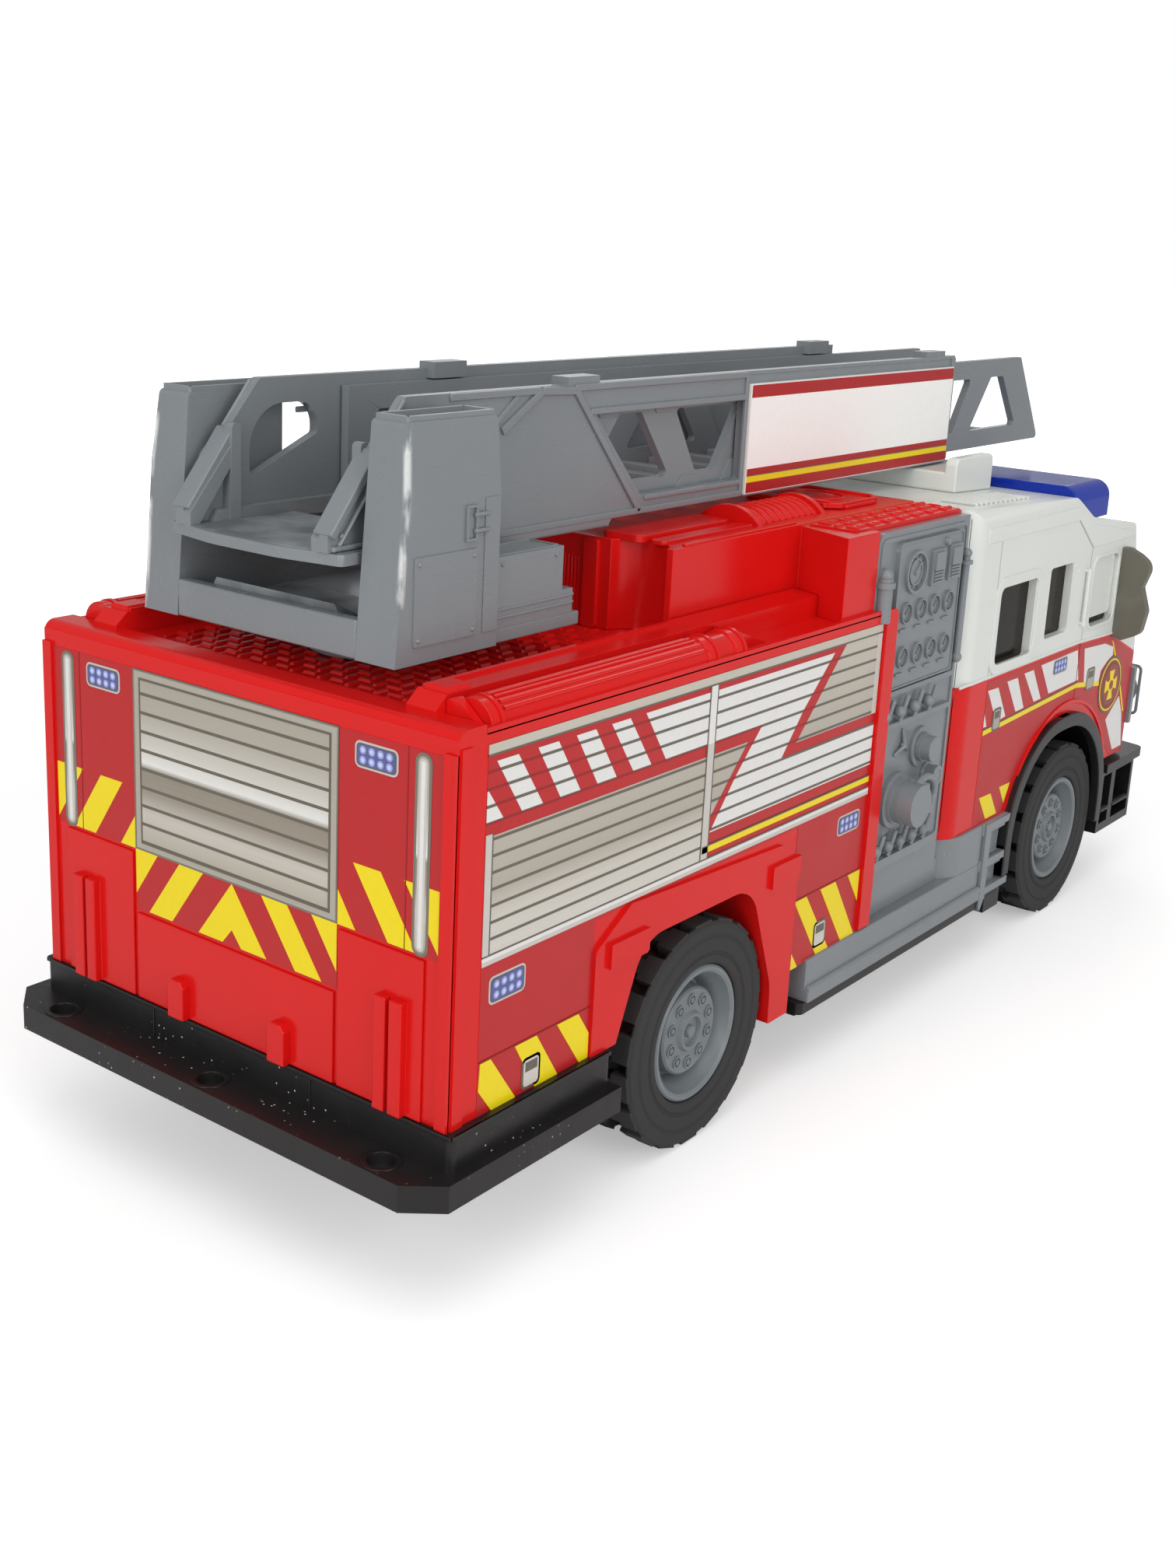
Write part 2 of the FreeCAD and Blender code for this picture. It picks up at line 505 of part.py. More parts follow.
def outer_rungs():
    """Flat rungs and the two cross plates under the lower section."""
    half = LADDER_OUT - LADDER_WALL
    low, high = LADDER_BOTTOM, LADDER_BOTTOM + 1.2
    places = [OUTER_FRONT + 2.0 + i * 12.5 for i in range(12)]
    rungs = [box(-half, half, y, y + 3.0, low, high) for y in places]
    plate = box(-half, half, 76.0, 101.0, low, high)
    return Part.Compound(rungs + [plate])


def ladder_platform():
    """Foot of the ladder: curved deck between the towers, with slanted rails, posts and side curbs."""
    corner, low, high = 20.6, 119.4, 121.3
    deck = slab("xy", [(-corner, 134.0), (-corner, 140.6, 1.0), (-8.0, 143.0, 20.0), (8.0, 143.0, 20.0), (corner, 140.6, 1.0),
                       (corner, 134.0), (16.4, 132.0), (16.4, 117.0), (-16.4, 117.0), (-16.4, 132.0)], low, high)
    rail = slab("yz", [(141.6, high), (139.6, high), (129.4, 134.6), (130.8, 136.0), (141.6, 123.6)], 14.6, 16.4)
    post = slab("yz", [(132.8, high), (130.2, high), (130.2, 138.2, 0.8), (132.2, 138.2, 0.8)], 14.4, 16.4)
    curb = slab("yz", [(136.4, high), (135.0, 123.4, 0.8), (105.5, 123.4), (105.5, high - 1)], 14.6, 16.4)
    return fuse([deck] + both(rail) + both(post) + both(curb))


def sign_plates():
    """Blank sign plates on the outside of the lower section."""
    plate = box(LADDER_OUT, LADDER_OUT + SIGN_THICK, -75.1, 18.9, 119.6, 142.8)
    return Part.Compound(both(plate))


# ---------------------------------------------------------------- ladder, upper section

def inner_frames():
    """Lattice side frames of the sliding section, whose bays are wide at the top and at the foot by turns."""
    tip_top, tip_foot, bar = -122.3, -138.6, 4.6
    top, low = INNER_TOP, INNER_BOTTOM
    side = [(INNER_REAR, low), (INNER_REAR, top), (tip_top, top, 1.0), (tip_foot, low, 1.0)]
    frame = slab("yz", side, INNER_OUT - INNER_WALL, INNER_OUT)
    upper, lower = top - bar, low + bar
    for i in range(INNER_BAYS):
        middle = INNER_FIRST - i * INNER_PITCH
        top_half, low_half = (3.6, 14.2) if i % 2 else (12.2, 3.7)
        bay = [(middle + top_half, upper), (middle + low_half, lower), (middle - low_half, lower),
               (middle - top_half, upper)]
        frame = frame.cut(slab("yz", [(y, z, 0.8) for y, z in bay], 0, 40))
    return Part.Compound(both(frame))


def inner_rungs():
    """Rungs of the sliding section."""
    half = INNER_OUT - INNER_WALL
    low = INNER_BOTTOM + 0.4
    places = [INNER_REAR - 4.0 - i * 12.0 for i in range(20)]
    return Part.Compound([box(-half, half, y, y + 3.0, low, low + 1.8) for y in places])


NODES = {
    "rear_body": rear_body,
    "roll_covers": roll_covers,
    "rear_bumper": rear_bumper,
    "tail_panels": tail_panels,
    "rear_fenders": rear_fenders,
    "rear_wheel_wells": rear_wheel_wells,
    "equipment_housing": equipment_housing,
    "hose_roll": hose_roll,
    "roof_hatch": roof_hatch,
    "pump_panel_right": pump_panel,
    "pump_panel_left": lambda: mirrored(pump_panel()),
    "pump_ports_right": pump_ports,
    "pump_ports_left": lambda: mirrored(pump_ports()),
    "running_boards": running_boards,
    "cab_steps": cab_steps,
    "base_plate": base_plate,
    "cab_lower": cab_lower,
    "cab_upper": cab_upper,
    "cab_glazing": cab_glazing,
    "front_flares": front_flares,
    "front_bumper": front_bumper,
    "front_grille": front_grille,
    "ladder_cradle": ladder_cradle,
    "light_bar": light_bar,
    "mirrors": mirrors,
    "rear_axle": lambda: axle(REAR_AXLE_Y),
    "rear_rims": lambda: rims(REAR_AXLE_Y),
    "rear_tyres": lambda: tyres(REAR_AXLE_Y),
    "front_axle": lambda: axle(FRONT_AXLE_Y),
    "front_rims": lambda: rims(FRONT_AXLE_Y),
    "front_tyres": lambda: tyres(FRONT_AXLE_Y),
    "turntable_base": turntable_base,
    "turntable_columns": turntable_columns,
    "turntable_beam": turntable_beam,
    "ladder_outer_frames": outer_frames,
    "ladder_outer_rungs": outer_rungs,
    "ladder_platform": ladder_platform,
    "sign_plates": sign_plates,
    "ladder_inner_frames": inner_frames,
    "ladder_inner_rungs": inner_rungs,
}


def main():
    os.makedirs("parts", exist_ok=True)
    for name, make in NODES.items():
        shape = make()
        shape.exportStep("parts/" + name + ".step")
        print(name, len(shape.Solids), "solids", shape.isValid(), round(shape.Volume))


main()
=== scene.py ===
"""Looks of the toy ladder fire engine, laid out as a Blender add-on and run as a script.

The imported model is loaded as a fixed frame, in metres. Every table below is in millimetres in the
same frame: the vehicle drives towards -Y, its left side is +X and +Z is up. A finished mesh is
scaled to metres by finish_piece.
"""
import math

import bmesh
import bpy
from bpy.props import FloatProperty, FloatVectorProperty, IntProperty, PointerProperty
from mathutils import Matrix, Vector


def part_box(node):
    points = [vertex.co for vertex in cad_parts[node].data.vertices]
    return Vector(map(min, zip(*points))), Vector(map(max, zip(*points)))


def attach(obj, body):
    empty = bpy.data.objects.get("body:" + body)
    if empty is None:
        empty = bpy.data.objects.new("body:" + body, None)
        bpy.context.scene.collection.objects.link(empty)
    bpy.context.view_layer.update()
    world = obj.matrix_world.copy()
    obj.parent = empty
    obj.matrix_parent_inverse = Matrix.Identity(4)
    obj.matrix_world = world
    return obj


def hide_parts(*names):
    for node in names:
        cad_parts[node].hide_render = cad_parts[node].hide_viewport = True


bl_info = {
    "name": "Toy Ladder Fire Engine",
    "version": (1, 0, 0),
    "blender": (4, 5, 0),
    "location": "View3D > Sidebar > Toy Engine",
    "description": "Builds the moulded shells, stickers, wheels and ladder of a toy fire engine",
    "category": "Object",
}

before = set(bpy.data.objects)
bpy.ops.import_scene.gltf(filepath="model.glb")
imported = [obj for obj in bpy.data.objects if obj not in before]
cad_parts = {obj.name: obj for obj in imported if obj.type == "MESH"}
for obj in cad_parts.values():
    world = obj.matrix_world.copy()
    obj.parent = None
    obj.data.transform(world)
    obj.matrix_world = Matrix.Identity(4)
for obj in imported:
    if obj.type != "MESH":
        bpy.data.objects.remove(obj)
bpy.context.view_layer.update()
MM = 0.001


def span(node):
    """Lowest and highest corner of a CAD node, in millimetres."""
    low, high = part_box(node)
    return low / MM, high / MM


# Faces and levels that the detail stands on, in millimetres, read from the frame
DECK = span("roll_covers")[0].z
ROLL_AXIS = Vector((45.8, 0, DECK))
BODY_SIDE = span("rear_body")[1].x
BODY_BACK = span("tail_panels")[0].y
HOUSING_TOP = span("roof_hatch")[0].z
SHELF_TOP = HOUSING_TOP - 0.4
HOUSING_SIDE, HOUSING_BACK = 35.2, span("equipment_housing")[1].y
PANEL_FACE = span("pump_ports_left")[0].x
GAUGE_FACE = PANEL_FACE + 0.9
CAB_SIDE, CAB_FRONT = span("cab_lower")[1].x, span("cab_lower")[0].y
ROOF, ROOF_BREAK, ROOF_SLOPE = span("cab_upper")[1].z, -28.9, 0.0381
TURN_Y = 110.8
TOWER_SIDE, TOWER_TOP = span("turntable_columns")[1].x, span("turntable_columns")[1].z
LADDER_FACE, SIGN_FACE = 18.4, span("sign_plates")[1].x
WHEEL_FACE, WHEEL_WIDTH = span("rear_rims")[1].x, 18.0
AXLES = {end: sum(span(end + "_axle"), Vector()) / 2 for end in ("rear", "front")}
TYRE_R = span("rear_tyres")[1].z / 2
SUNK = 0.2  # how far raised detail reaches into the shell below it
EDGE_ANGLE = math.radians(35.0)


def roof_at(y):
    """Height of the cab's sloped roof ahead of its break."""
    return ROOF - ROOF_SLOPE * (ROOF_BREAK - y)


# ------------------------------------------------------------------ mesh helpers

def verts_of(geometry):
    """The vertices among mixed bmesh geometry."""
    return [item for item in geometry if isinstance(item, bmesh.types.BMVert)]


def paint(bm, verts, finish, outwards=False):
    """Give the faces of new vertices a finish; a closed solid's faces are turned outwards first."""
    faces = list({face for vert in verts for face in vert.link_faces})
    if outwards:
        bmesh.ops.recalc_face_normals(bm, faces=faces)
    for face in faces:
        face.material_index = finish
    return verts


def block(bm, x, y, z, finish=0):
    """Box over the spans x, y and z."""
    made = bmesh.ops.create_cube(bm, size=1.0)["verts"]
    bmesh.ops.scale(bm, vec=[high - low for low, high in (x, y, z)], verts=made)
    bmesh.ops.translate(bm, vec=[(low + high) / 2 for low, high in (x, y, z)], verts=made)
    return paint(bm, made, finish)


def rod(bm, start, end, radius, sides=24, end_radius=None):
    """Closed cylinder or cone between two points."""
    start, end = Vector(start), Vector(end)
    turn = (end - start).to_track_quat("Z", "Y").to_matrix().to_4x4()
    tip = radius if end_radius is None else end_radius
    bmesh.ops.create_cone(bm, cap_ends=True, cap_tris=False, segments=sides, radius1=radius, radius2=tip,
                          depth=(end - start).length, matrix=Matrix.Translation((start + end) / 2) @ turn)


def ball(bm, centre, radius, rings=10):
    bmesh.ops.create_uvsphere(bm, u_segments=2 * rings, v_segments=rings, radius=radius,
                              matrix=Matrix.Translation(centre))


def around(centre, radius, degrees):
    """Flat point on a circle."""
    turn = math.radians(degrees)
    return centre[0] + radius * math.cos(turn), centre[1] + radius * math.sin(turn)


def lifted(plane, a, b, level):
    """A flat point lifted into space on the plane yz, xz or xy."""
    return {"yz": (level, a, b), "xz": (a, level, b), "xy": (a, b, level)}[plane]


def rounded(table, steps=5):
    """Flat loop through the table's points; a third number rounds that corner."""
    points = [Vector(row[:2]) for row in table]
    loop = []
    for i, row in enumerate(table):
        here = points[i]
        if len(row) < 3 or not row[2]:
            loop.append(here)
            continue
        back = (points[i - 1] - here).normalized()
        ahead = (points[(i + 1) % len(points)] - here).normalized()
        half_turn = back.angle(ahead) / 2
        middle = here + (back + ahead).normalized() * row[2] / math.sin(half_turn)
        first = here + back * row[2] / math.tan(half_turn) - middle
        sweep = math.pi - 2 * half_turn
        side = 1 if ahead.x * back.y - ahead.y * back.x > 0 else -1
        for k in range(steps + 1):
            angle = side * sweep * k / steps
            turned = Vector((first.x * math.cos(angle) - first.y * math.sin(angle),
                             first.x * math.sin(angle) + first.y * math.cos(angle)))
            loop.append(middle + turned)
    return loop


def outline(bm, plane, table, level, steps):
    """Flat face with the table's outline."""
    return bm.faces.new([bm.verts.new(lifted(plane, p.x, p.y, level)) for p in rounded(table, steps)])


def grown(bm, faces, plane, rise, finish):
    """Extrude flat faces into a closed solid."""
    base = list({vert for face in faces for vert in face.verts})
    top = verts_of(bmesh.ops.extrude_face_region(bm, geom=faces)["geom"])
    bmesh.ops.translate(bm, vec=lifted(plane, 0, 0, rise), verts=top)
    paint(bm, base + top, finish, outwards=True)


def plate(bm, plane, table, low, high, finish=0, steps=5):
    """Solid between two levels with the table's outline."""
    grown(bm, [outline(bm, plane, table, low, steps)], plane, high - low, finish)


def border(bm, plane, table, width, low, high, finish=0, steps=4):
    """Raised border that follows the table's outline, width wide, between two levels."""
    face = outline(bm, plane, table, low, steps)
    face.normal_update()
    rim = bmesh.ops.inset_region(bm, faces=[face], thickness=width, use_boundary=True,
                                 use_even_offset=True)["faces"]
    bmesh.ops.delete(bm, geom=[face], context="FACES_ONLY")
    grown(bm, rim, plane, high - low, finish)


def turned(bm, profile, centre, finish=0, steps=48, axis=(1, 0, 0)):
    """Spun solid through centre; profile columns: distance along axis, radius."""
    centre, axis = Vector(centre), Vector(axis)
    across = Vector((axis.z, 0, 1 - axis.z))
    verts = [bm.verts.new(centre + axis * along + across * radius) for along, radius in profile]
    edges = [bm.edges.new(pair) for pair in zip(verts, verts[1:])]
    old = set(bm.verts) - set(verts)
    bmesh.ops.spin(bm, geom=verts + edges, cent=centre, axis=axis, angle=2 * math.pi, steps=steps,
                   use_merge=True, use_duplicate=False)
    made = [vert for vert in bm.verts if vert not in old]
    bmesh.ops.remove_doubles(bm, verts=made, dist=0.001)
    paint(bm, [vert for vert in made if vert.is_valid], finish, outwards=True)


def disc(bm, centre, radius, low, high, finish=0, steps=48):
    """Round pad on a side face."""
    turned(bm, [(low, 0.0), (high, 0.0), (high, radius), (low, radius)], centre, finish, steps)


def drum(bm, centre, radius, half, steps=48):
    """Closed disc that lies along the vehicle."""
    turned(bm, [(-half, 0.0), (-half, radius), (half, radius), (half, 0.0)], centre, 0, steps, (0, 1, 0))


def ring(bm, centre, outer, inner, height, steps=32, axis=(1, 0, 0)):
    """Flat ring that stands height above centre along axis."""
    profile = [(-0.3, outer), (height, outer), (height, inner), (-0.3, inner), (-0.3, outer)]
    turned(bm, profile, centre, 0, steps, axis)


def strip(bm, plane, start, end, width, low, high, finish=0):
    """Straight flat bar between two flat points, width wide, between two levels."""
    start, end = Vector(start), Vector(end)
    across = Vector((start.y - end.y, end.x - start.x)).normalized() * width / 2
    plate(bm, plane, [start - across, end - across, end + across, start + across], low, high, finish)


def tapered(bm, x, y, z, inset):
    """Box over the spans x, y and z whose top is smaller by inset all round."""
    made = block(bm, x, y, z)
    wide, deep = x[1] - x[0], y[1] - y[0]
    middle = Vector(((x[0] + x[1]) / 2, (y[0] + y[1]) / 2, 0))
    top = [vert for vert in made if vert.co.z > (z[0] + z[1]) / 2]
    bmesh.ops.scale(bm, vec=((wide - 2 * inset) / wide, (deep - 2 * inset) / deep, 1),
                    space=Matrix.Translation(-middle), verts=top)


def oblong(a, b, radius=0):
    """Rounded rectangle over the spans a and b as a table of corners."""
    return [(a[0], b[0], radius), (a[1], b[0], radius), (a[1], b[1], radius), (a[0], b[1], radius)]


def everything(bm):
    return bm.verts[:] + bm.edges[:] + bm.faces[:]


def cut(bm, point, normal, fill=True, **clear):
    """Cut the mesh along a plane; clear_inner or clear_outer drops one side of it."""
    bmesh.ops.bisect_plane(bm, geom=everything(bm), plane_co=point, plane_no=normal, **clear)
    if clear and fill:
        bmesh.ops.holes_fill(bm, edges=bm.edges)


def ruled(bm, levels, width):
    """Cut level lines across every face and give them the line ink of their field."""
    for level in levels:
        for edge in (level - width / 2, level + width / 2):
            cut(bm, (0, 0, edge), (0, 0, 1))
    for face in bm.faces:
        place = face.calc_center_median().z
        if face.material_index in RULED and any(abs(place - level) < width / 2 for level in levels):
            face.material_index = RULED[face.material_index]


def settle(bm, name, finishes, rounding=0.0, body="chassis", stands_for=()):
    """Link a metre bmesh as an object with its finishes, rounded edges and body."""
    finishes = [finishes] if isinstance(finishes, str) else finishes
    mesh = bpy.data.meshes.new(name)
    bm.to_mesh(mesh)
    bm.free()
    piece = bpy.data.objects.new(name, mesh)
    bpy.context.scene.collection.objects.link(piece)
    for finish in finishes:
        mesh.materials.append(material(finish))
    mesh.shade_smooth()
    if rounding:
        bevel = piece.modifiers.new("rounded edges", "BEVEL")
        bevel.width = rounding * MM
        bevel.segments = 2
        bevel.limit_method = "ANGLE"
        bevel.angle_limit = EDGE_ANGLE
        piece.modifiers.new("flat faces", "WEIGHTED_NORMAL")
    else:
        mesh.set_sharp_from_angle(angle=EDGE_ANGLE)
    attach(piece, body)
    if stands_for:
        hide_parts(*stands_for)


def finish_piece(bm, *details, **more):
    """Scale a millimetre bmesh to metres and settle it."""
    bmesh.ops.scale(bm, vec=(MM, MM, MM), verts=bm.verts)
    settle(bm, *details, **more)


def finish_sides(bm, *details, **more):
    """Add the mirror image on the other side of the vehicle and finish the piece."""
    copy = bmesh.ops.duplicate(bm, geom=everything(bm))["geom"]
    bmesh.ops.scale(bm, vec=(-1, 1, 1), verts=verts_of(copy))
    bmesh.ops.reverse_faces(bm, faces=[item for item in copy if isinstance(item, bmesh.types.BMFace)])
    finish_piece(bm, *details, **more)


def moulded(node, body, finish, rounding):
    """A CAD node's shape, its doubles merged and flat faces joined, as a moulded piece."""
    bm = bmesh.new()
    bm.from_mesh(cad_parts[node].data)
    bmesh.ops.remove_doubles(bm, verts=bm.verts, dist=1e-6)
    bmesh.ops.dissolve_limit(bm, angle_limit=math.radians(0.6), verts=bm.verts, edges=bm.edges)
    bmesh.ops.connect_verts_concave(bm, faces=bm.faces)
    bmesh.ops.recalc_face_normals(bm, faces=bm.faces)
    settle(bm, node + "_moulding", finish, rounding, body, (node,))


# ------------------------------------------------------------------ finishes

class Shader:
    """Small helper that wires a node material on Object coordinates."""

    def __init__(self, name, specular=0.36):
        self.material = bpy.data.materials.new(name)
        self.material.use_nodes = True
        self.tree = self.material.node_tree
        self.surface = self.tree.nodes["Principled BSDF"].inputs
        self.surface["Specular IOR Level"].default_value = specular
        self.place = self.node("TexCoord", "Object")

    def feed(self, socket, value):
        """Link an output to the socket, or set the socket's own value."""
        if isinstance(value, bpy.types.NodeSocket):
            self.tree.links.new(value, socket)
        else:
            socket.default_value = (*value, 1.0) if socket.type == "RGBA" else value

    def node(self, kind, output, feeds=(), **settings):
        """Add a node, feed its sockets and give back one of its outputs."""
        made = self.tree.nodes.new("ShaderNode" + kind)
        for key, value in settings.items():
            setattr(made, key, value)
        for socket, value in dict(feeds).items():
            self.feed(made.inputs[socket], value)
        return made.outputs[output]

    def noise(self, scale, detail=3.0, stretch=(1, 1, 1)):
        place = self.node("Mapping", "Vector", {"Scale": stretch, "Vector": self.place})
        return self.node("TexNoise", "Fac", {"Scale": scale, "Detail": detail, "Vector": place})

    def ramp(self, source, stops):
        """Colour ramp; stops columns: place, red, green, blue."""
        colour = self.node("ValToRGB", "Color", {"Fac": source})
        elements = colour.node.color_ramp.elements
        while len(elements) < len(stops):
            elements.new(0.5)
        for element, (at, *tint) in zip(elements, stops):
            element.position, element.color = at, (*tint, 1.0)
        return colour

    def span(self, source, low, high, to_low=0.0, to_high=1.0):
        return self.node("MapRange", "Result", {"Value": source, "From Min": low, "From Max": high,
                                                "To Min": to_low, "To Max": to_high})

    def maths(self, operation, a, b=0.0):
        return self.node("Math", "Value", {0: a, 1: b}, operation=operation)

    def mix(self, factor, a, b):
        return self.node("Mix", 2, {"Factor": factor, 6: a, 7: b}, data_type="RGBA")

    def axis(self, letter):
        return self.node("SeparateXYZ", letter, {"Vector": self.place})

    def coated(self, tint, rough, grain=None):
        """Finish the surface; grain columns: noise scale, detail, depth in metres, strength."""
        self.feed(self.surface["Base Color"], tint)
        self.feed(self.surface["Roughness"], rough)
        if grain:
            scale, detail, depth, strength = grain
            normal = self.node("Bump", "Normal", {"Distance": depth, "Strength": strength,
                                                  "Height": self.noise(scale, detail)})
            self.feed(self.surface["Normal"], normal)
        return self.material


# Noise of the flow marks and scuffs, and grain of the moulded skin and of the sticker film
FLOW, SCUFFS = (32.0, 4.0), (210.0, 6.0, (1.0, 0.14, 0.6))
SKIN, FILM_GRAIN = (1100.0, 2.0, 0.00003, 0.5), (420.0, 3.0, 0.00003, 0.5)
HAZE = (0.6, 0.6, 0.6)


def shade(colour, factor):
    """The colour made lighter or darker."""
    return tuple(min(1.0, channel * factor) for channel in colour)


def tone(colour):
    """A plain colour, or a setting's name with how much lighter or darker it is wanted."""
    if isinstance(colour[0], str):
        return shade(getattr(bpy.context.scene.toy_engine_finish, colour[0]), colour[1])
    return colour


def moulded_plastic(name, colour, rough, variation=0.05, haze=0.0, haze_colour=HAZE, shine=0.36):
    """Injection-moulded plastic: faint flow marks, fine skin, handling scuffs and dull patches."""
    shader = Shader(name, shine)
    tint = shader.mix(shader.noise(*FLOW), shade(colour, 1 - variation), shade(colour, 1 + variation))
    if haze:
        streaks = shader.noise(150.0, 6.0, (1.0, 0.16, 0.7))
        tint = shader.mix(shader.span(streaks, 0.52, 0.78, 0.0, haze), tint, haze_colour)
    dull = shader.span(shader.noise(*SCUFFS), 0.35, 0.75, rough - 0.02, rough + 0.05)
    return shader.coated(tint, dull, SKIN)


def worn_grey_with_highlight(name, colour, rough):
    """Grey moulding whose rear tower edges are painted pale in chips: partly wear by use, partly a painted
    highlight along the edge.
    """
    shader = Shader(name, 0.45)
    tint = shader.mix(shader.noise(*FLOW), shade(colour, 0.95), shade(colour, 1.05))
    streaks = shader.noise(120.0, 6.0, (1.0, 0.5, 0.12))
    tint = shader.mix(shader.span(streaks, 0.54, 0.8, 0.0, 0.1), tint, shade(colour, 1.8))
    # the tower's rear outer edge leans forward and, above its shoulder, inwards
    lean = shader.maths("ADD", shader.maths("MULTIPLY", shader.axis("Z"), 0.0795), shader.axis("Y"))
    behind = shader.span(lean, 145.6 * MM, 146.4 * MM)
    above = shader.maths("MAXIMUM", shader.maths("SUBTRACT", shader.axis("Z"), 130.7 * MM))
    inwards = shader.maths("MULTIPLY", above, 0.104)
    reach = shader.maths("ADD", shader.maths("ABSOLUTE", shader.axis("X")), inwards)
    out = shader.span(reach, (TOWER_SIDE - 1.1) * MM, (TOWER_SIDE - 0.4) * MM)
    # pale chips along that edge: partly wear, partly a painted highlight where the edge catches the light
    edge_chips_and_highlight = shader.span(shader.noise(330.0, 5.0, (1.0, 1.0, 0.3)), 0.44, 0.56, 0.0, 0.9)
    edge = shader.maths("MULTIPLY", shader.maths("MULTIPLY", behind, out), edge_chips_and_highlight)
    tint = shader.mix(edge, tint, (0.74, 0.76, 0.76))
    dull = shader.span(shader.noise(*SCUFFS), 0.35, 0.75, rough - 0.02, rough + 0.06)
    return shader.coated(tint, dull, SKIN)


def dusty_grey(name, colour, rough):
    """Grey moulding with dark grime settled in patches."""
    shader = Shader(name)
    grime = shader.span(shader.noise(85.0, 6.0), 0.42, 0.62, 0.0, 0.75)
    tint = shader.mix(grime, shade(colour, 1.15), shade(colour, 0.42))
    dull = shader.span(shader.noise(160.0, 4.0), 0.3, 0.7, rough - 0.05, rough + 0.15)
    return shader.coated(tint, dull, (900.0, 3.0, 0.00005, 0.6))


def printed_film(name, colour, rough=0.34, mottle=0.035):
    """Printed sticker film: even ink with a faint paper mottle under a satin laminate."""
    shader = Shader(name)
    tint = shader.mix(shader.noise(800.0), shade(colour, 1 - mottle), shade(colour, 1 + mottle))
    dull = shader.span(shader.noise(90.0), 0.3, 0.7, rough - 0.03, rough + 0.05)
    return shader.coated(tint, dull, FILM_GRAIN)


def shutter_print(name, stops, low, high):
    """Printed roller shutter: a brushed metal gradient from low to high, in millimetres of height."""
    shader = Shader(name)
    height = shader.span(shader.axis("Z"), low * MM, high * MM)
    grain = shader.noise(40.0, 3.0, (1.0, 1.0, 60.0))
    base = shader.ramp(height, stops)
    tint = shader.mix(shader.span(grain, 0.3, 0.7, 0.0, 0.14), base, (0.42, 0.38, 0.32))
    dull = shader.span(shader.noise(90.0), 0.3, 0.7, 0.34, 0.42)
    return shader.coated(tint, dull, FILM_GRAIN)


def lens_plastic(name, colour, rough):
    """Tinted lens moulding: deep colour under a glossy skin."""
    shader = Shader(name, 0.24)
    shader.surface["Transmission Weight"].default_value = 0.1
    shader.surface["IOR"].default_value = 1.49
    tint = shader.mix(shader.noise(30.0), shade(colour, 0.85), shade(colour, 1.15))
    dull = shader.span(shader.noise(120.0, 4.0), 0.35, 0.7, rough, rough + 0.06)
    return shader.coated(tint, dull)


def dusty_black(name, colour, rough):
    """Black plastic with specks of pale dust on it."""
    shader = Shader(name)
    specks = shader.node("TexVoronoi", "Distance", {"Scale": 620.0, "Vector": shader.place})
    near = shader.span(specks, 0.05, 0.14, 1.0, 0.0)
    patch = shader.span(shader.noise(60.0, 4.0), 0.5, 0.62)
    tint = shader.mix(shader.noise(40.0), shade(colour, 0.8), shade(colour, 1.35))
    tint = shader.mix(shader.maths("MULTIPLY", near, patch), tint, (0.62, 0.62, 0.58))
    dull = shader.span(shader.noise(180.0, 4.0), 0.35, 0.7, rough, rough + 0.1)
    return shader.coated(tint, dull, (800.0, 3.0, 0.00004, 0.6))


def drawn_steel(name, colour, rough):
    """Drawn steel rod with fine marks along it."""
    shader = Shader(name)
    shader.surface["Metallic"].default_value = 1.0
    tint = shader.mix(shader.noise(300.0, 3.0, (0.1, 1, 1)), colour, shade(colour, 1.32))
    dull = shader.span(shader.noise(200.0), 0.3, 0.7, rough, rough + 0.13)
    return shader.coated(tint, dull)


# Columns: place along the height, red, green, blue
SHUTTER_REAR = [(0.0, 0.27, 0.24, 0.18), (0.06, 0.42, 0.38, 0.31), (0.22, 0.54, 0.51, 0.45),
                (0.34, 0.30, 0.26, 0.21), (0.47, 0.25, 0.22, 0.17), (0.50, 0.74, 0.73, 0.70),
                (0.60, 0.58, 0.56, 0.51), (0.78, 0.40, 0.37, 0.31), (1.0, 0.36, 0.33, 0.27)]
SHUTTER_SIDE = [(0.0, 0.62, 0.59, 0.54), (0.20, 0.58, 0.55, 0.49), (0.32, 0.42, 0.38, 0.32),
                (0.60, 0.46, 0.42, 0.36), (1.0, 0.53, 0.49, 0.42)]


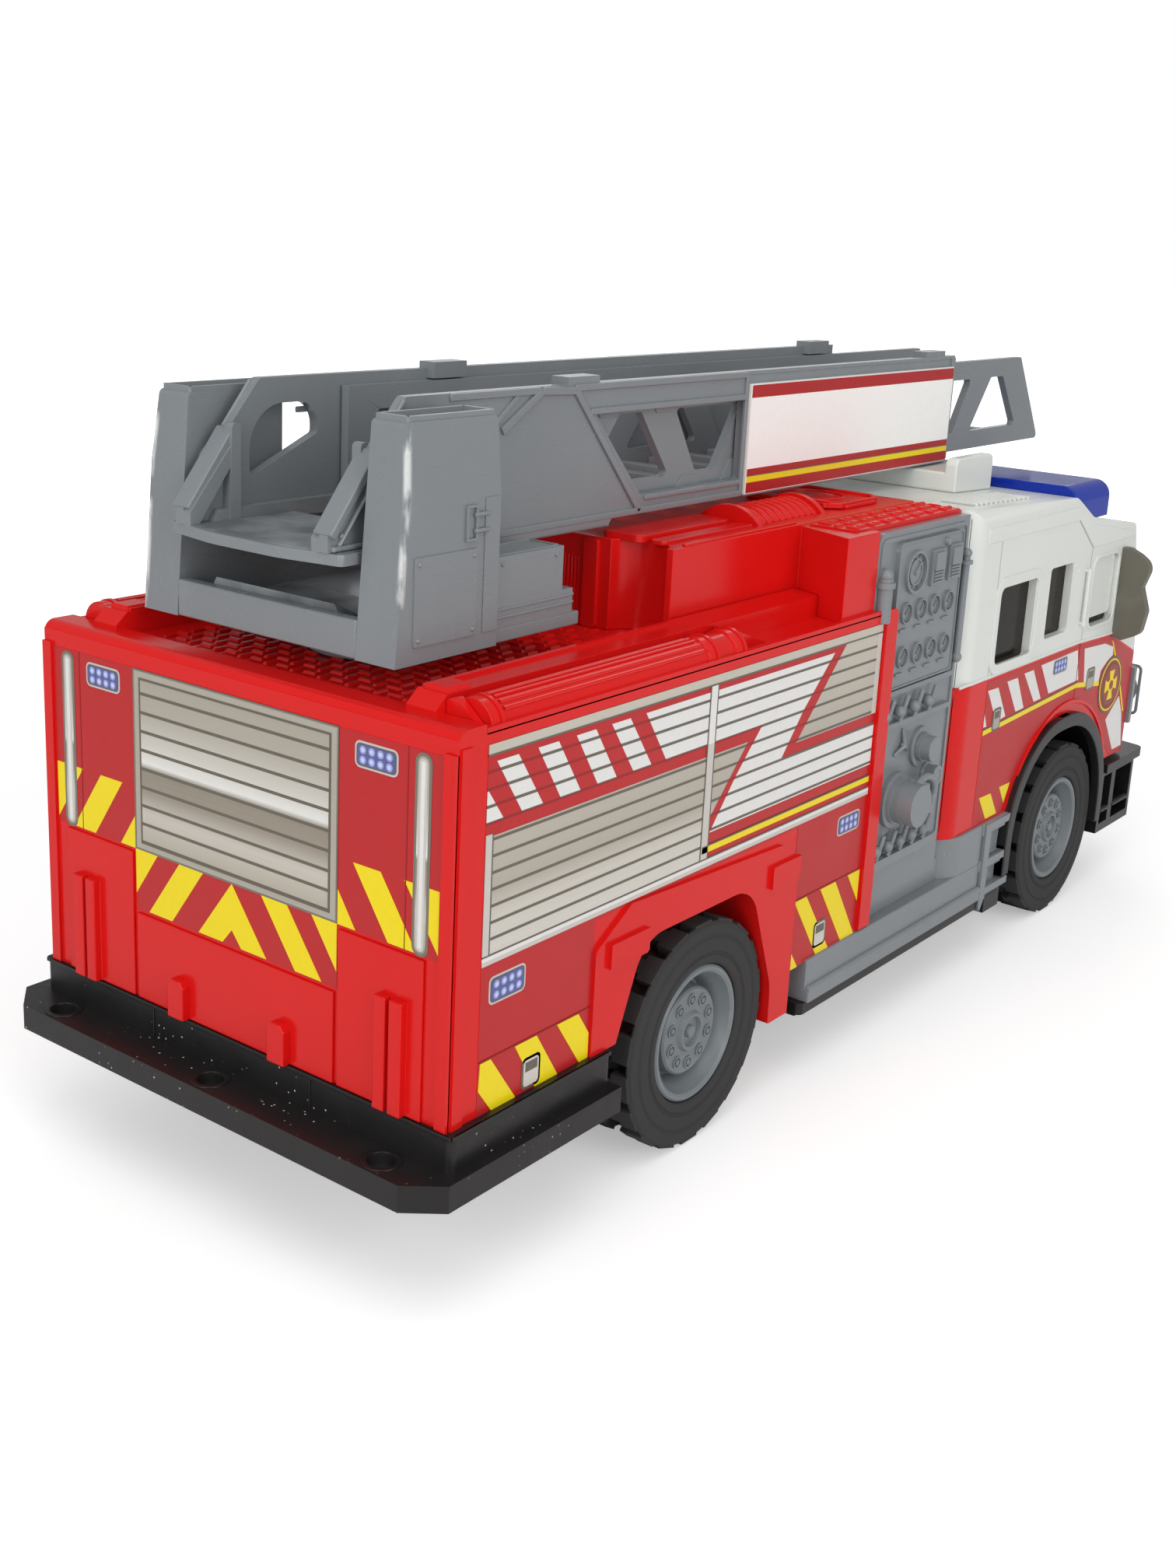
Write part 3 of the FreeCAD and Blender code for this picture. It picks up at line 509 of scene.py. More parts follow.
# Columns: maker, tone, roughness; then, for moulded plastic, variation, haze, haze colour and shine
PLASTICS = {
    "red moulding": (moulded_plastic, ("red", 1), 0.20, 0.04, 0.0, HAZE, 0.28),
    # red darkened to paint the shade inside the door's groove
    "red seam": (moulded_plastic, ("red", 0.45), 0.4, 0.04),
    "white moulding": (moulded_plastic, ("white", 1), 0.24, 0.02, 0.12, (0.5, 0.5, 0.46)),
    "seam shadow": (moulded_plastic, ("white", 0.55), 0.4, 0.04),
    "grey moulding": (moulded_plastic, ("grey", 1), 0.25, 0.04, 0.05, (0.42, 0.44, 0.45), 0.45),
    "grey worn": (worn_grey_with_highlight, ("grey", 1), 0.27),
    "grey dusty": (dusty_grey, ("grey", 1), 0.42),
    "black moulding": (moulded_plastic, ("black", 1), 0.3, 0.25, 0.12, (0.06, 0.06, 0.06)),
    "black dusty": (dusty_black, ("black", 1), 0.32),
    # near-black: painted shade in the port bores; in the wheel wells partly black plastic, partly painted shade
    "deep black": (moulded_plastic, (0.006, 0.006, 0.006), 0.6, 0.2),
    "cream moulding": (moulded_plastic, ("cream", 1), 0.40, 0.05, 0.1),
    "blue lens": (lens_plastic, ("blue", 1), 0.08),
    "smoked window": (moulded_plastic, (0.012, 0.009, 0.006), 0.10, 0.3, 0.0, HAZE, 0.12),
    "lamp silver": (moulded_plastic, (0.5, 0.5, 0.5), 0.22, 0.05),
    "rim grey": (moulded_plastic, ("rim", 1), 0.32, 0.04, 0.18, (0.45, 0.47, 0.48)),
    "axle steel": (drawn_steel, (0.5, 0.5, 0.5), 0.25),
}
INKS = {
    "red print": ("print_red", 1),
    "sign red print": ("print_red", 0.86),
    "dark red print": ("print_red", 0.6),
    "white print": ("print_white", 1),
    "sign white print": ("print_white", 1.25),
    "yellow print": ("print_yellow", 1),
    "line print": (0.13, 0.11, 0.085),
    "shutter frame print": (0.40, 0.37, 0.31),
    "pale trim print": (0.56, 0.53, 0.49),
    "trim shadow print": (0.18, 0.16, 0.13),
    "handle print": (0.40, 0.37, 0.32),
    "medal rim print": (0.16, 0.10, 0.05),
    "medal field print": (0.30, 0.04, 0.03),
    "lamp frame print": (0.52, 0.51, 0.50),
    "lamp blue print": (0.10, 0.11, 0.30),
    "lamp glow print": (0.30, 0.34, 0.62),
    "lamp spot print": (0.55, 0.60, 0.88),
}
SHUTTERS = {"rear shutter print": (SHUTTER_REAR, 61.0, 95.0), "side shutter print": (SHUTTER_SIDE, 60.0, 95.0)}


def material(name):
    """The named finish, made on first use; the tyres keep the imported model's own plain black."""
    found = bpy.data.materials.get(name)
    if found:
        return found
    if name in PLASTICS:
        maker, colour, *values = PLASTICS[name]
        return maker(name, tone(colour), *values)
    return printed_film(name, tone(INKS[name])) if name in INKS else shutter_print(name, *SHUTTERS[name])


# ------------------------------------------------------------------ settings

class ToyEngineFinish(bpy.types.PropertyGroup):
    """Colours of the toy's plastics and inks"""
    red: FloatVectorProperty(name="Red", description="Red moulding", subtype="COLOR", min=0, max=1,
                             default=(0.66, 0.008, 0.007))
    white: FloatVectorProperty(name="White", description="White moulding", subtype="COLOR", min=0, max=1,
                               default=(0.7, 0.72, 0.685))
    grey: FloatVectorProperty(name="Grey", description="Grey moulding", subtype="COLOR", min=0, max=1,
                              default=(0.205, 0.224, 0.237))
    rim: FloatVectorProperty(name="Rim grey", description="Wheel rims", subtype="COLOR", min=0, max=1,
                             default=(0.172, 0.193, 0.203))
    black: FloatVectorProperty(name="Black", description="Black moulding", subtype="COLOR", min=0, max=1,
                               default=(0.012, 0.011, 0.011))
    cream: FloatVectorProperty(name="Cream", description="Mirror moulding", subtype="COLOR", min=0, max=1,
                               default=(0.137, 0.128, 0.1))
    blue: FloatVectorProperty(name="Blue", description="Light bar lens", subtype="COLOR", min=0, max=1,
                              default=(0.005, 0.03, 0.37))
    print_red: FloatVectorProperty(name="Red ink", description="Red of the stickers", subtype="COLOR",
                                   min=0, max=1, default=(0.47, 0.012, 0.014))
    print_white: FloatVectorProperty(name="White ink", description="White of the stickers", subtype="COLOR",
                                     min=0, max=1, default=(0.73, 0.72, 0.7))
    print_yellow: FloatVectorProperty(name="Yellow ink", description="Yellow of the stickers", subtype="COLOR",
                                      min=0, max=1, default=(0.84, 0.66, 0.002))


class ToyEngineSizes(bpy.types.PropertyGroup):
    """Sizes of the small detail, in millimetres"""
    rounding: FloatProperty(name="Edge rounding", description="Radius of the moulded edges", default=0.35,
                            min=0.05, max=1.5)
    film: FloatProperty(name="Film", description="Thickness of one layer of sticker", default=0.06, min=0.01,
                        max=0.3)
    slat_pitch: FloatProperty(name="Slat pitch", description="Spacing of the shutter's slats", default=2.84,
                              min=1.0, max=8.0)
    tread_pitch: FloatProperty(name="Tread pitch", description="Spacing of the tread plate's bars", default=3.3,
                               min=1.5, max=8.0)
    wheel_nuts: IntProperty(name="Wheel nuts", description="Moulded nuts on each rim", default=10, min=3, max=20)
    tyre_blocks: IntProperty(name="Tyre blocks", description="Tread blocks round each tyre", default=18, min=8,
                             max=60)


class PieceOperator:
    """What every building step shares."""
    bl_options = {"REGISTER", "UNDO"}

    def execute(self, context):
        self.build(context.scene.toy_engine_sizes)
        return {"FINISHED"}


# ------------------------------------------------------------------ moulded shells

# Columns: body, finish, edge rounding of each node in millimetres
MOULDINGS = [
    ("chassis", "red moulding", {"rear_body": 0.45, "roll_covers": 0.2, "tail_panels": 0.2, "rear_fenders": 0.3,
                                 "equipment_housing": 0.5, "hose_roll": 0.2, "roof_hatch": 0.2,
                                 "cab_lower": 0.25}),
    ("chassis", "black dusty", {"rear_bumper": 0.45}),
    # wheel well liners in near-black: partly black plastic, partly painted shade inside the wells
    ("chassis", "deep black", {"rear_wheel_wells": 0.0}),
    ("chassis", "grey moulding", {"pump_panel_right": 0.35, "pump_panel_left": 0.35, "pump_ports_right": 0.12,
                                  "pump_ports_left": 0.12, "cab_steps": 0.4, "front_grille": 0.4}),
    ("chassis", "black moulding", {"base_plate": 0.3, "front_flares": 0.3, "front_bumper": 0.4}),
    ("chassis", "white moulding", {"cab_upper": 0.3, "ladder_cradle": 0.5}),
    ("chassis", "smoked window", {"cab_glazing": 0.2}),
    ("chassis", "blue lens", {"light_bar": 0.5}),
    ("chassis", "cream moulding", {"mirrors": 0.3}),
    ("rear_wheels", "axle steel", {"rear_axle": 0.2}),
    ("front_wheels", "axle steel", {"front_axle": 0.2}),
    ("turntable", "grey moulding", {"turntable_base": 0.3, "turntable_beam": 0.4}),
    ("turntable", "grey worn", {"turntable_columns": 0.45}),
    ("ladder", "grey worn", {"ladder_outer_frames": 0.3}),
    ("ladder", "grey moulding", {"ladder_outer_rungs": 0.2, "ladder_platform": 0.3}),
    ("ladder", "white print", {"sign_plates": 0.15}),
    ("extension", "grey moulding", {"ladder_inner_frames": 0.3, "ladder_inner_rungs": 0.25}),
]


class TOY_OT_mouldings(PieceOperator, bpy.types.Operator):
    """Round the edges of the moulded pieces and give them their plastics"""
    bl_idname = "toy.mouldings"
    bl_label = "Moulded Pieces"

    def build(self, sizes):
        for body, finish, nodes in MOULDINGS:
            for node, rounding in nodes.items():
                moulded(node, body, finish, rounding * sizes.rounding / 0.35)


# ------------------------------------------------------------------ tread plates and body trim

def tread(bm, x, y, level, pitch, skip=None):
    """Basket pattern of raised bars over the spans x and y, left out where skip says so."""
    long, wide, high = pitch * 0.47, pitch * 0.17, 0.45
    for i in range(int((x[1] - x[0]) / pitch)):
        for j in range(int((y[1] - y[0]) / pitch)):
            here = (x[0] + (i + 0.5) * pitch, y[0] + (j + 0.5) * pitch)
            if skip and skip(*here):
                continue
            half = (long, wide) if (i + j) % 2 else (wide, long)
            spans = [(here[k] - half[k], here[k] + half[k]) for k in (0, 1)]
            tapered(bm, *spans, (level - 0.1, level + high), 0.28)


class TOY_OT_treads(PieceOperator, bpy.types.Operator):
    """Raise the bars of the tread plates on the deck and on the housing's side boxes"""
    bl_idname = "toy.treads"
    bl_label = "Tread Plates"

    def build(self, sizes):
        bm = bmesh.new()
        tread(bm, (-34.6, 34.6), (69.2, 138.6), DECK, sizes.tread_pitch,
              lambda x, y: math.hypot(x, y - TURN_Y) < 13.0)
        finish_piece(bm, "deck_tread", "red moulding")
        bm = bmesh.new()
        tread(bm, (36.7, 46.6), (-27.4, 18.9), SHELF_TOP + 0.35, sizes.tread_pitch)
        block(bm, (36.2, 46.9), (-27.9, 19.4), (SHELF_TOP - SUNK, SHELF_TOP + 0.35))
        finish_sides(bm, "housing_tread", "red moulding")


class TOY_OT_body_trim(PieceOperator, bpy.types.Operator):
    """Add the flanges, beads, corner strips and ribs of the rear body"""
    bl_idname = "toy.body_trim"
    bl_label = "Body Trim"

    def build(self, sizes):
        bm = bmesh.new()
        side, back = BODY_SIDE, BODY_BACK
        # front flange of the shutter side, deck bead and rear corner strips
        plate(bm, "yz", [(6.3, 27.3), (6.3, 98.8, 1.5), (11.0, 98.8), (11.0, 27.3)], side - 0.4, side + 0.9)
        block(bm, (side - 1.2, side), (11.0, 139.0), (DECK - 0.3, DECK + 0.8))
        block(bm, (side - 2.4, side), (back - 0.3, back + 0.55), (32.0, 95.6))
        block(bm, (side - 0.3, side + 0.35), (back - 3.2, back - 0.6), (32.0, 96.4))
        # rails on the curb and ends of the roll cover
        block(bm, (35.9, 36.9), (24.0, 137.6), (102.0, 102.7))
        tapered(bm, (36.4, 41.4), (132.0, 138.0), (102.0, 103.0), 0.5)
        plate(bm, "xz", [(42.1, DECK), (42.1, DECK + 3.6), (44.0, DECK + 4.4, 1.0), (49.4, DECK)], 137.2, 138.8)
        plate(bm, "yz", [(63.2, DECK), (63.2, DECK + 3.9), (52.5, DECK)], 42.1, 47.6)
        border(bm, "yz", [(107.2, 33.0), (107.2, 51.0, 2.0), (98.2, 57.2, 3.0), (46.2, 55.0, 3.0),
                          (40.2, 51.2, 2.0),
                          (40.2, 18.2), (46.2, 18.2), (59.6, 33.0)], 0.01, side + 0.3, side + 0.31)
        finish_sides(bm, "body_trim", "red moulding", 0.18)

        bm = bmesh.new()
        for angle in (38, 57, 76, 95, 114):
            turn = math.radians(angle)
            place = ROLL_AXIS + 3.9 * Vector((math.cos(turn), 0, math.sin(turn)))
            rod(bm, place + Vector((0, 76.5, 0)), place + Vector((0, 133.0, 0)), 0.42, sides=10)
        for y in (64.0, 73.0, 134.4):
            drum(bm, ROLL_AXIS + Vector((0, y, 0)), 4.55, 0.4, 40)
        cut(bm, (0, 0, DECK - 0.1), (0, 0, 1), fill=False, clear_inner=True)
        cut(bm, (42.06, 0, 0), (1, 0, 0), clear_inner=True)
        finish_sides(bm, "roll_cover_ribs", "red moulding")

        bm = bmesh.new()
        plate(bm, "xz", [(10.9, 32.0), (15.1, 32.0), (15.1, 38.4, 0.8), (14.2, 39.6), (11.8, 39.6),
                         (10.9, 38.4, 0.8)],
              back + 0.3, back + 2.2)
        for x in ((35.8, 38.4), (39.2, 42.0)):
            block(bm, x, (back + 0.3, back + 2.0), (32.0, 52.4))
        finish_sides(bm, "tail_ribs", "red moulding", 0.25)

        bm = bmesh.new()
        for x in (-52.6, 52.1):
            block(bm, (x, x + 0.5), (103.4, 146.2), (31.2, 32.0))
        block(bm, (-52.2, 52.2), (146.2, 146.7), (31.2, 32.0))
        for x in (-41.5, 0.0, 41.5):
            ring(bm, (x, 151.0, 25.6), 3.5, 2.5, 0.35, steps=28, axis=(0, 0, 1))
        for x in (-20.4, 20.4):
            block(bm, (x - 0.1, x + 0.1), (146.3, 146.75), (25.7, 31.4))
        finish_piece(bm, "rear_tray_trim", "black moulding", 0.15)


# ------------------------------------------------------------------ stickers

RED, WHITE, SHUTTER, PALE, YELLOW = 0, 2, 4, 6, 7
RULED = {RED: 1, WHITE: 3, SHUTTER: 5}
LAMP_INKS = ["lamp frame print", "line print", "lamp blue print", "lamp glow print", "lamp spot print"]


def body_inks(shutter):
    """Inks of the rear body's stickers, in the order of the numbers above."""
    return ["red print", "dark red print", "white print", "line print", shutter, "line print", "pale trim print",
            "yellow print"]


def lamp_print(bm, plane, a, b, face, film):
    """Printed lamp over the spans a and b: frame, dark line, blue field and glowing spots."""
    for ink, (inset, radius, sunk, layer) in enumerate(((0.0, 1.1, 0.05, 2), (0.35, 0.8, 0.0, 2.6),
                                                        (0.6, 0.7, 0.0, 3.2))):
        table = oblong((a[0] + inset, a[1] - inset), (b[0] + inset, b[1] - inset), radius)
        plate(bm, plane, table, face - sunk, face + layer * film, ink)
    wide, high = a[1] - a[0], b[1] - b[0]
    for i in range(8):
        at = (a[0] + wide * (i // 2 + 0.95) / 4.9, b[0] + high * (i % 2 + 0.85) / 2.7)
        for radius, layer, ink in ((0.72, 3.8, 3), (0.4, 4.4, 4)):
            plate(bm, plane, [around(at, radius, 30 * k) for k in range(12)], face, face + layer * film, ink)


def latch_print(bm, a, b, face, film, dark, light):
    """Printed pull handle over the spans a and b: dark frame, pale field and a shaded upper half."""
    middle = b[0] + 0.55 * (b[1] - b[0])
    plate(bm, "yz", oblong(a, b, 1.0), face - 0.05, face + 3 * film, dark)
    plate(bm, "yz", oblong((a[0] + 0.5, a[1] - 0.5), (b[0] + 0.5, b[1] - 0.5), 0.7), face, face + 3.8 * film,
          light)
    plate(bm, "yz", oblong((a[0] + 0.9, a[1] - 0.9), (middle, b[1] - 0.9)), face, face + 4.6 * film, dark)


class TOY_OT_side_stickers(PieceOperator, bpy.types.Operator):
    """Lay the printed shutter, stripes, chevrons and lamps on both sides of the rear body"""
    bl_idname = "toy.side_stickers"
    bl_label = "Side Stickers"

    def build(self, sizes):
        face, film = BODY_SIDE, sizes.film
        slats = [63.0 + sizes.slat_pitch * i for i in range(11)]
        base = bmesh.new()
        plate(base, "yz", [(138.6, 95.9), (11.3, 95.9), (11.3, 26.3), (39.9, 26.3), (39.9, 58.0), (108.2, 58.0),
                           (108.2, 32.0), (138.6, 32.0)], face - film, face + film, RED)
        ruled(base, slats, 0.5)
        fields = bmesh.new()
        ink = lambda table, finish: plate(fields, "yz", table, face, face + 2 * film, finish)
        top, foot = 92.9, 82.95
        for start, slant in ((136.5, 129.7), (126.2, 119.7), (116.1, 109.5), (106.3, 99.2)):
            ink([(start, top), (start - 5.3, top), (slant - 5.4, foot), (slant, foot)], WHITE)
        ink([(96.3, top), (76.1, top), (76.1, foot), (89.3, foot)], WHITE)
        ink([(138.6, 88.7), (134.4, 83.0), (138.6, 83.0)], WHITE)
        ink([(73.7, top), (31.0, top), (41.8, 83.0), (73.7, 83.0)], WHITE)
        ink([(57.0, 83.0), (41.8, 83.0), (49.0, 74.6), (65.4, 74.6)], WHITE)
        ink([(65.4, 74.6), (11.5, 74.6), (11.5, 65.3), (73.3, 65.3)], WHITE)
        ink([(26.3, 94.0), (13.1, 94.0), (13.1, 76.7), (43.6, 76.7)], SHUTTER)
        ink([(137.0, 80.6), (76.1, 80.6), (76.1, 60.4), (137.0, 60.4)], SHUTTER)
        ink([(73.7, 80.6), (62.0, 80.6), (73.7, 68.3)], SHUTTER)
        ruled(fields, slats, 0.55)
        trim = bmesh.new()
        ink = lambda table, finish, layer=3: plate(trim, "yz", table, face, face + layer * film, finish)
        bar = lambda y, z, finish, layer=3: ink(oblong(y, z), finish, layer)
        bar((11.3, 138.6), (94.3, 95.9), SHUTTER)
        bar((11.3, 138.6), (94.0, 94.35), RULED[WHITE], 3.4)
        bar((11.3, 13.1), (76.7, 94.0), PALE)
        bar((137.0, 138.6), (60.4, 81.0), PALE)
        bar((136.8, 137.1), (60.4, 81.0), RULED[WHITE], 3.4)
        bar((73.7, 76.1), (83.0, 94.0), WHITE)
        bar((73.7, 76.1), (60.4, 83.0), PALE)
        for y in (73.7, 76.1):
            bar((y - 0.14, y + 0.14), (60.4, 94.0), RULED[WHITE], 3.6)
        bar((11.3, 138.6), (58.6, 59.4), PALE)
        bar((11.3, 138.6), (59.4, 60.1), WHITE)
        bar((11.3, 138.6), (60.1, 60.4), RULED[WHITE], 3.4)
        bar((11.5, 75.6), (61.5, 62.7), YELLOW)
        bar((11.5, 75.6), (62.7, 62.95), RULED[WHITE], 3.4)
        # chevrons of the rear and front corners
        for table in ([(138.1, 41.5), (135.5, 41.5), (128.6, 32.0), (134.9, 32.0), (138.4, 36.6)],
                      [(129.2, 41.5), (123.4, 41.5), (117.1, 32.0), (123.4, 32.0)],
                      [(117.8, 41.5), (111.8, 41.5), (108.5, 36.8), (108.5, 32.0), (111.0, 32.0)],
                      [(39.9, 32.0), (35.7, 26.3), (39.9, 26.3)],
                      [(38.9, 41.5), (34.1, 41.5), (22.6, 26.3), (27.8, 26.3)],
                      [(28.4, 41.5), (22.1, 41.5), (11.6, 26.3), (17.3, 26.3)],
                      [(16.8, 41.5), (11.6, 41.5), (11.6, 34.3)]):
            ink(table, YELLOW)
        for y in ((11.6, 39.9), (108.5, 138.4)):
            bar(y, (41.6, 41.85), RULED[RED], 3.4)
        latch_print(trim, (122.1, 127.1), (32.4, 38.3), face, film, RULED[WHITE], SHUTTER)
        latch_print(trim, (24.7, 29.9), (28.4, 34.3), face, film, RULED[WHITE], SHUTTER)
        lamps = bmesh.new()
        lamp_print(lamps, "yz", (127.1, 136.5), (51.2, 56.2), face, film)
        lamp_print(lamps, "yz", (14.0, 23.3), (51.7, 56.1), face, film)
        for name, bm in (("base", base), ("fields", fields), ("trim", trim)):
            finish_sides(bm, "side_sticker_" + name, body_inks("side shutter print"))
        finish_sides(lamps, "side_sticker_lamps", LAMP_INKS)


class TOY_OT_rear_stickers(PieceOperator, bpy.types.Operator):
    """Lay the printed shutter, handrails, chevrons and lamps on the back of the body"""
    bl_idname = "toy.rear_stickers"
    bl_label = "Rear Stickers"

    def build(self, sizes):
        face, film = BODY_BACK, sizes.film
        inks = body_inks("rear shutter print") + ["trim shadow print", "shutter frame print"]
        shadow, frame_ink = 8, 9
        bm = bmesh.new()
        ink = lambda table, finish, layer=2: plate(bm, "xz", table, face, face + layer * film, finish)
        bar = lambda x, z, finish: ink(oblong(x, z), finish)
        plate(bm, "xz", [(-48.0, 95.0), (48.0, 95.0), (48.0, 61.0), (25.7, 61.0), (25.7, 49.4), (-25.7, 49.4),
                         (-25.7, 61.0), (-48.0, 61.0)], face - film, face + film, RED)
        for side in (-1, 1):
            for table in ([(29.1, 72.8), (35.2, 72.8), (43.3, 61.1), (37.1, 61.1)],
                          [(40.4, 72.8), (47.9, 72.8), (47.9, 62.0)],
                          [(25.7, 67.2), (29.8, 61.1), (25.7, 61.1)],
                          [(0.0, 61.1), (8.7, 49.6), (2.4, 49.6), (0.0, 52.5)],
                          [(7.4, 61.1), (13.7, 61.1), (22.1, 49.6), (15.8, 49.6)],
                          [(19.6, 61.1), (25.6, 61.1), (25.6, 52.5)]):
                ink([(side * x, z) for x, z in table], YELLOW)
            bar(sorted((side * 40.6, side * 40.8)), (61.0, 95.0), RULED[RED])
            rail = side * 44.0
            for half, layer, finish in ((1.75, 2.4, shadow), (1.2, 3.0, SHUTTER), (0.85, 3.6, PALE),
                                        (0.4, 4.2, WHITE)):
                ink(oblong((rail - half, rail + half), (62.5 - half, 92.9 + half), half * 0.95), finish, layer)
        bar((-25.6, 25.6), (61.1, 95.0), frame_ink)
        border(bm, "xz", oblong((-25.6, 25.6), (61.1, 95.0)), 0.35, face, face + 2.5 * film, shadow)
        finish_piece(bm, "rear_sticker", inks)

        bm = bmesh.new()
        plate(bm, "xz", oblong((-23.9, 23.9), (62.5, 93.5)), face, face + 3 * film, SHUTTER)
        ruled(bm, [62.9 + 3.47 * i for i in range(9)], 0.6)
        border(bm, "xz", oblong((-23.9, 23.9), (62.5, 93.5)), 0.4, face, face + 3.6 * film, RULED[SHUTTER])
        finish_piece(bm, "rear_sticker_shutter", inks)

        bm = bmesh.new()
        for x in ((29.2, 38.6), (-38.6, -29.2)):
            lamp_print(bm, "xz", x, (89.2, 93.7), face, film)
        finish_piece(bm, "rear_sticker_lamps", LAMP_INKS)


def wrap_corner(bm, start, radius):
    """Bend what lies ahead of start round the cab's front corner."""
    for i in range(8):
        cut(bm, (0, start - i, 0), (0, 1, 0))
    for vert in bm.verts:
        ahead = start - vert.co.y
        if ahead > 0:
            proud = radius + vert.co.x - CAB_SIDE
            turn = min(ahead / radius, math.pi / 2)
            vert.co.x = CAB_SIDE - radius + proud * math.cos(turn)
            vert.co.y = start - proud * math.sin(turn)


class TOY_OT_cab_stickers(PieceOperator, bpy.types.Operator):
    """Lay the crimson film, stripes, medallion and handles on both sides of the cab"""
    bl_idname = "toy.cab_stickers"
    bl_label = "Cab Stickers"

    def build(self, sizes):
        face, film = CAB_SIDE, sizes.film
        inks = ["red print", "dark red print", "white print", "line print", "yellow print", "medal rim print",
                "medal field print", "pale trim print", "handle print"]
        line, yellow, medal, field, handle = 3, 4, 5, 6, 8
        bm = bmesh.new()
        ink = lambda table, finish, layer=2: plate(bm, "yz", table, face - film, face + layer * film, finish, 8)
        ink([(-44.6, 73.4), (-98.2, 73.4), (-121.3, 72.4), (-139.6, 64.9), (-142.5, 64.9), (-142.5, 37.2),
             (-130.6, 37.2), (-125.3, 41.6), (-120.6, 46.9), (-115.2, 51.6), (-108.0, 55.9), (-99.7, 58.0),
             (-92.0, 58.2), (-84.4, 57.3), (-74.3, 53.2), (-65.7, 45.2), (-60.6, 37.4), (-44.6, 37.4)], RED, 1)
        for table in ([(-45.2, 71.1), (-50.9, 70.9), (-56.8, 62.7), (-51.8, 62.2)],
                      [(-55.8, 71.5), (-61.7, 71.4), (-67.3, 62.8), (-62.7, 62.7)],
                      [(-65.5, 71.8), (-70.9, 71.8), (-77.4, 63.3), (-73.3, 63.2)],
                      [(-44.8, 65.3), (-46.4, 62.1), (-44.7, 62.2)],
                      [(-75.5, 72.2), (-98.3, 72.4), (-101.0, 64.0), (-82.2, 63.7)],
                      [(-103.0, 72.0), (-117.2, 71.1), (-123.4, 69.2), (-123.8, 66.9), (-120.5, 65.9),
                       (-116.4, 63.8),
                       (-115.7, 61.0), (-105.3, 62.3)],
                      [(-124.6, 48.5), (-132.6, 53.8), (-136.2, 48.2), (-138.9, 38.4), (-132.6, 38.4)]):
            ink(table, 2)
        ink([(-44.8, 60.1), (-100.0, 62.0), (-116.0, 59.7), (-116.0, 60.9), (-101.0, 63.2), (-44.8, 61.3)],
            yellow, 2.4)
        strip(bm, "yz", (-44.8, 61.5), (-100.6, 63.4), 0.25, face, face + 2.8 * film, line)
        for table in ([(-122.0, 71.2), (-123.0, 70.8), (-132.4, 57.3), (-137.4, 48.7), (-136.6, 48.7),
                       (-131.4, 57.6)],
                      [(-46.9, 44.0), (-53.3, 43.8), (-58.0, 37.6), (-51.8, 37.6)],
                      [(-58.1, 44.3), (-64.2, 44.2), (-61.6, 39.5)]):
            ink(table, yellow, 2.4)
        # plain medallion of rings and a four-armed cross
        at = (face, -124.5, 58.5)
        for radius, layer, finish in ((8.0, 3.0, medal), (7.3, 3.6, yellow), (6.8, 4.2, RULED[RED]),
                                      (5.6, 4.8, medal),
                                      (5.1, 5.4, field), (2.0, 7.2, yellow), (1.3, 7.8, field)):
            disc(bm, at, radius, 0.0, layer * film, finish, 40)
        for turn in (0, 90, 180, 270):
            arm = [around(at[1:], r, turn + a) for r, a in ((1.2, -40), (4.4, -24), (4.4, 24), (1.2, 40))]
            plate(bm, "yz", arm, face, face + 6.4 * film, yellow)
        for y, z in (((-53.9, -49.4), (60.1, 65.8)), ((-112.0, -106.7), (59.8, 65.9))):
            latch_print(bm, y, z, face, film, line, handle)
        wrap_corner(bm, CAB_FRONT + 4.6, 5.0)
        finish_sides(bm, "cab_sticker", inks)
        bm = bmesh.new()
        lamp_print(bm, "yz", (-92.0, -83.1), (68.0, 72.2), face + film, film)
        finish_sides(bm, "cab_sticker_lamps", LAMP_INKS)


class TOY_OT_sign_stickers(PieceOperator, bpy.types.Operator):
    """Lay the blank striped stickers on the ladder's sign plates"""
    bl_idname = "toy.sign_stickers"
    bl_label = "Sign Stickers"

    def build(self, sizes):
        low, high = span("sign_plates")
        bm = bmesh.new()
        # Columns: foot, top, ink
        for foot, top, finish in ((139.9, high.z - 0.3, 0), (125.0, 139.9, 1), (123.4, 125.0, 0),
                                  (122.1, 123.4, 2),
                                  (low.z + 0.3, 122.1, 0)):
            block(bm, (SIGN_FACE - 0.05, SIGN_FACE + sizes.film), (low.y + 0.3, high.y - 0.3), (foot, top), finish)
        block(bm, (SIGN_FACE, SIGN_FACE + 1.6 * sizes.film), (low.y + 0.3, high.y - 0.3), (123.4, 123.6), 3)
        finish_sides(bm, "sign_stickers", ["sign red print", "sign white print", "yellow print", "line print"],
                     body="ladder")


# ------------------------------------------------------------------ pump panels

def dial(bm, at, radius, high, face):
    """Moulded gauge on a side face: bezel, inner step, needle and hub."""
    centre = (face, *at)
    ring(bm, centre, radius, radius * 0.86, high)
    disc(bm, centre, radius * 0.62, -0.2, high * 0.25, steps=28)
    ring(bm, centre, radius * 0.62, radius * 0.54, high * 0.55, steps=28)
    tip = (at[0] - radius * 0.34, at[1] + radius * 0.38)
    strip(bm, "yz", (at[0] + radius * 0.1, at[1] - radius * 0.12), tip, radius * 0.11, face, face + high * 0.75)
    turned(bm, [(0.0, 0.0), (high * 0.9, 0.0), (high * 0.8, radius * 0.1), (0.0, radius * 0.13)], centre, steps=14)


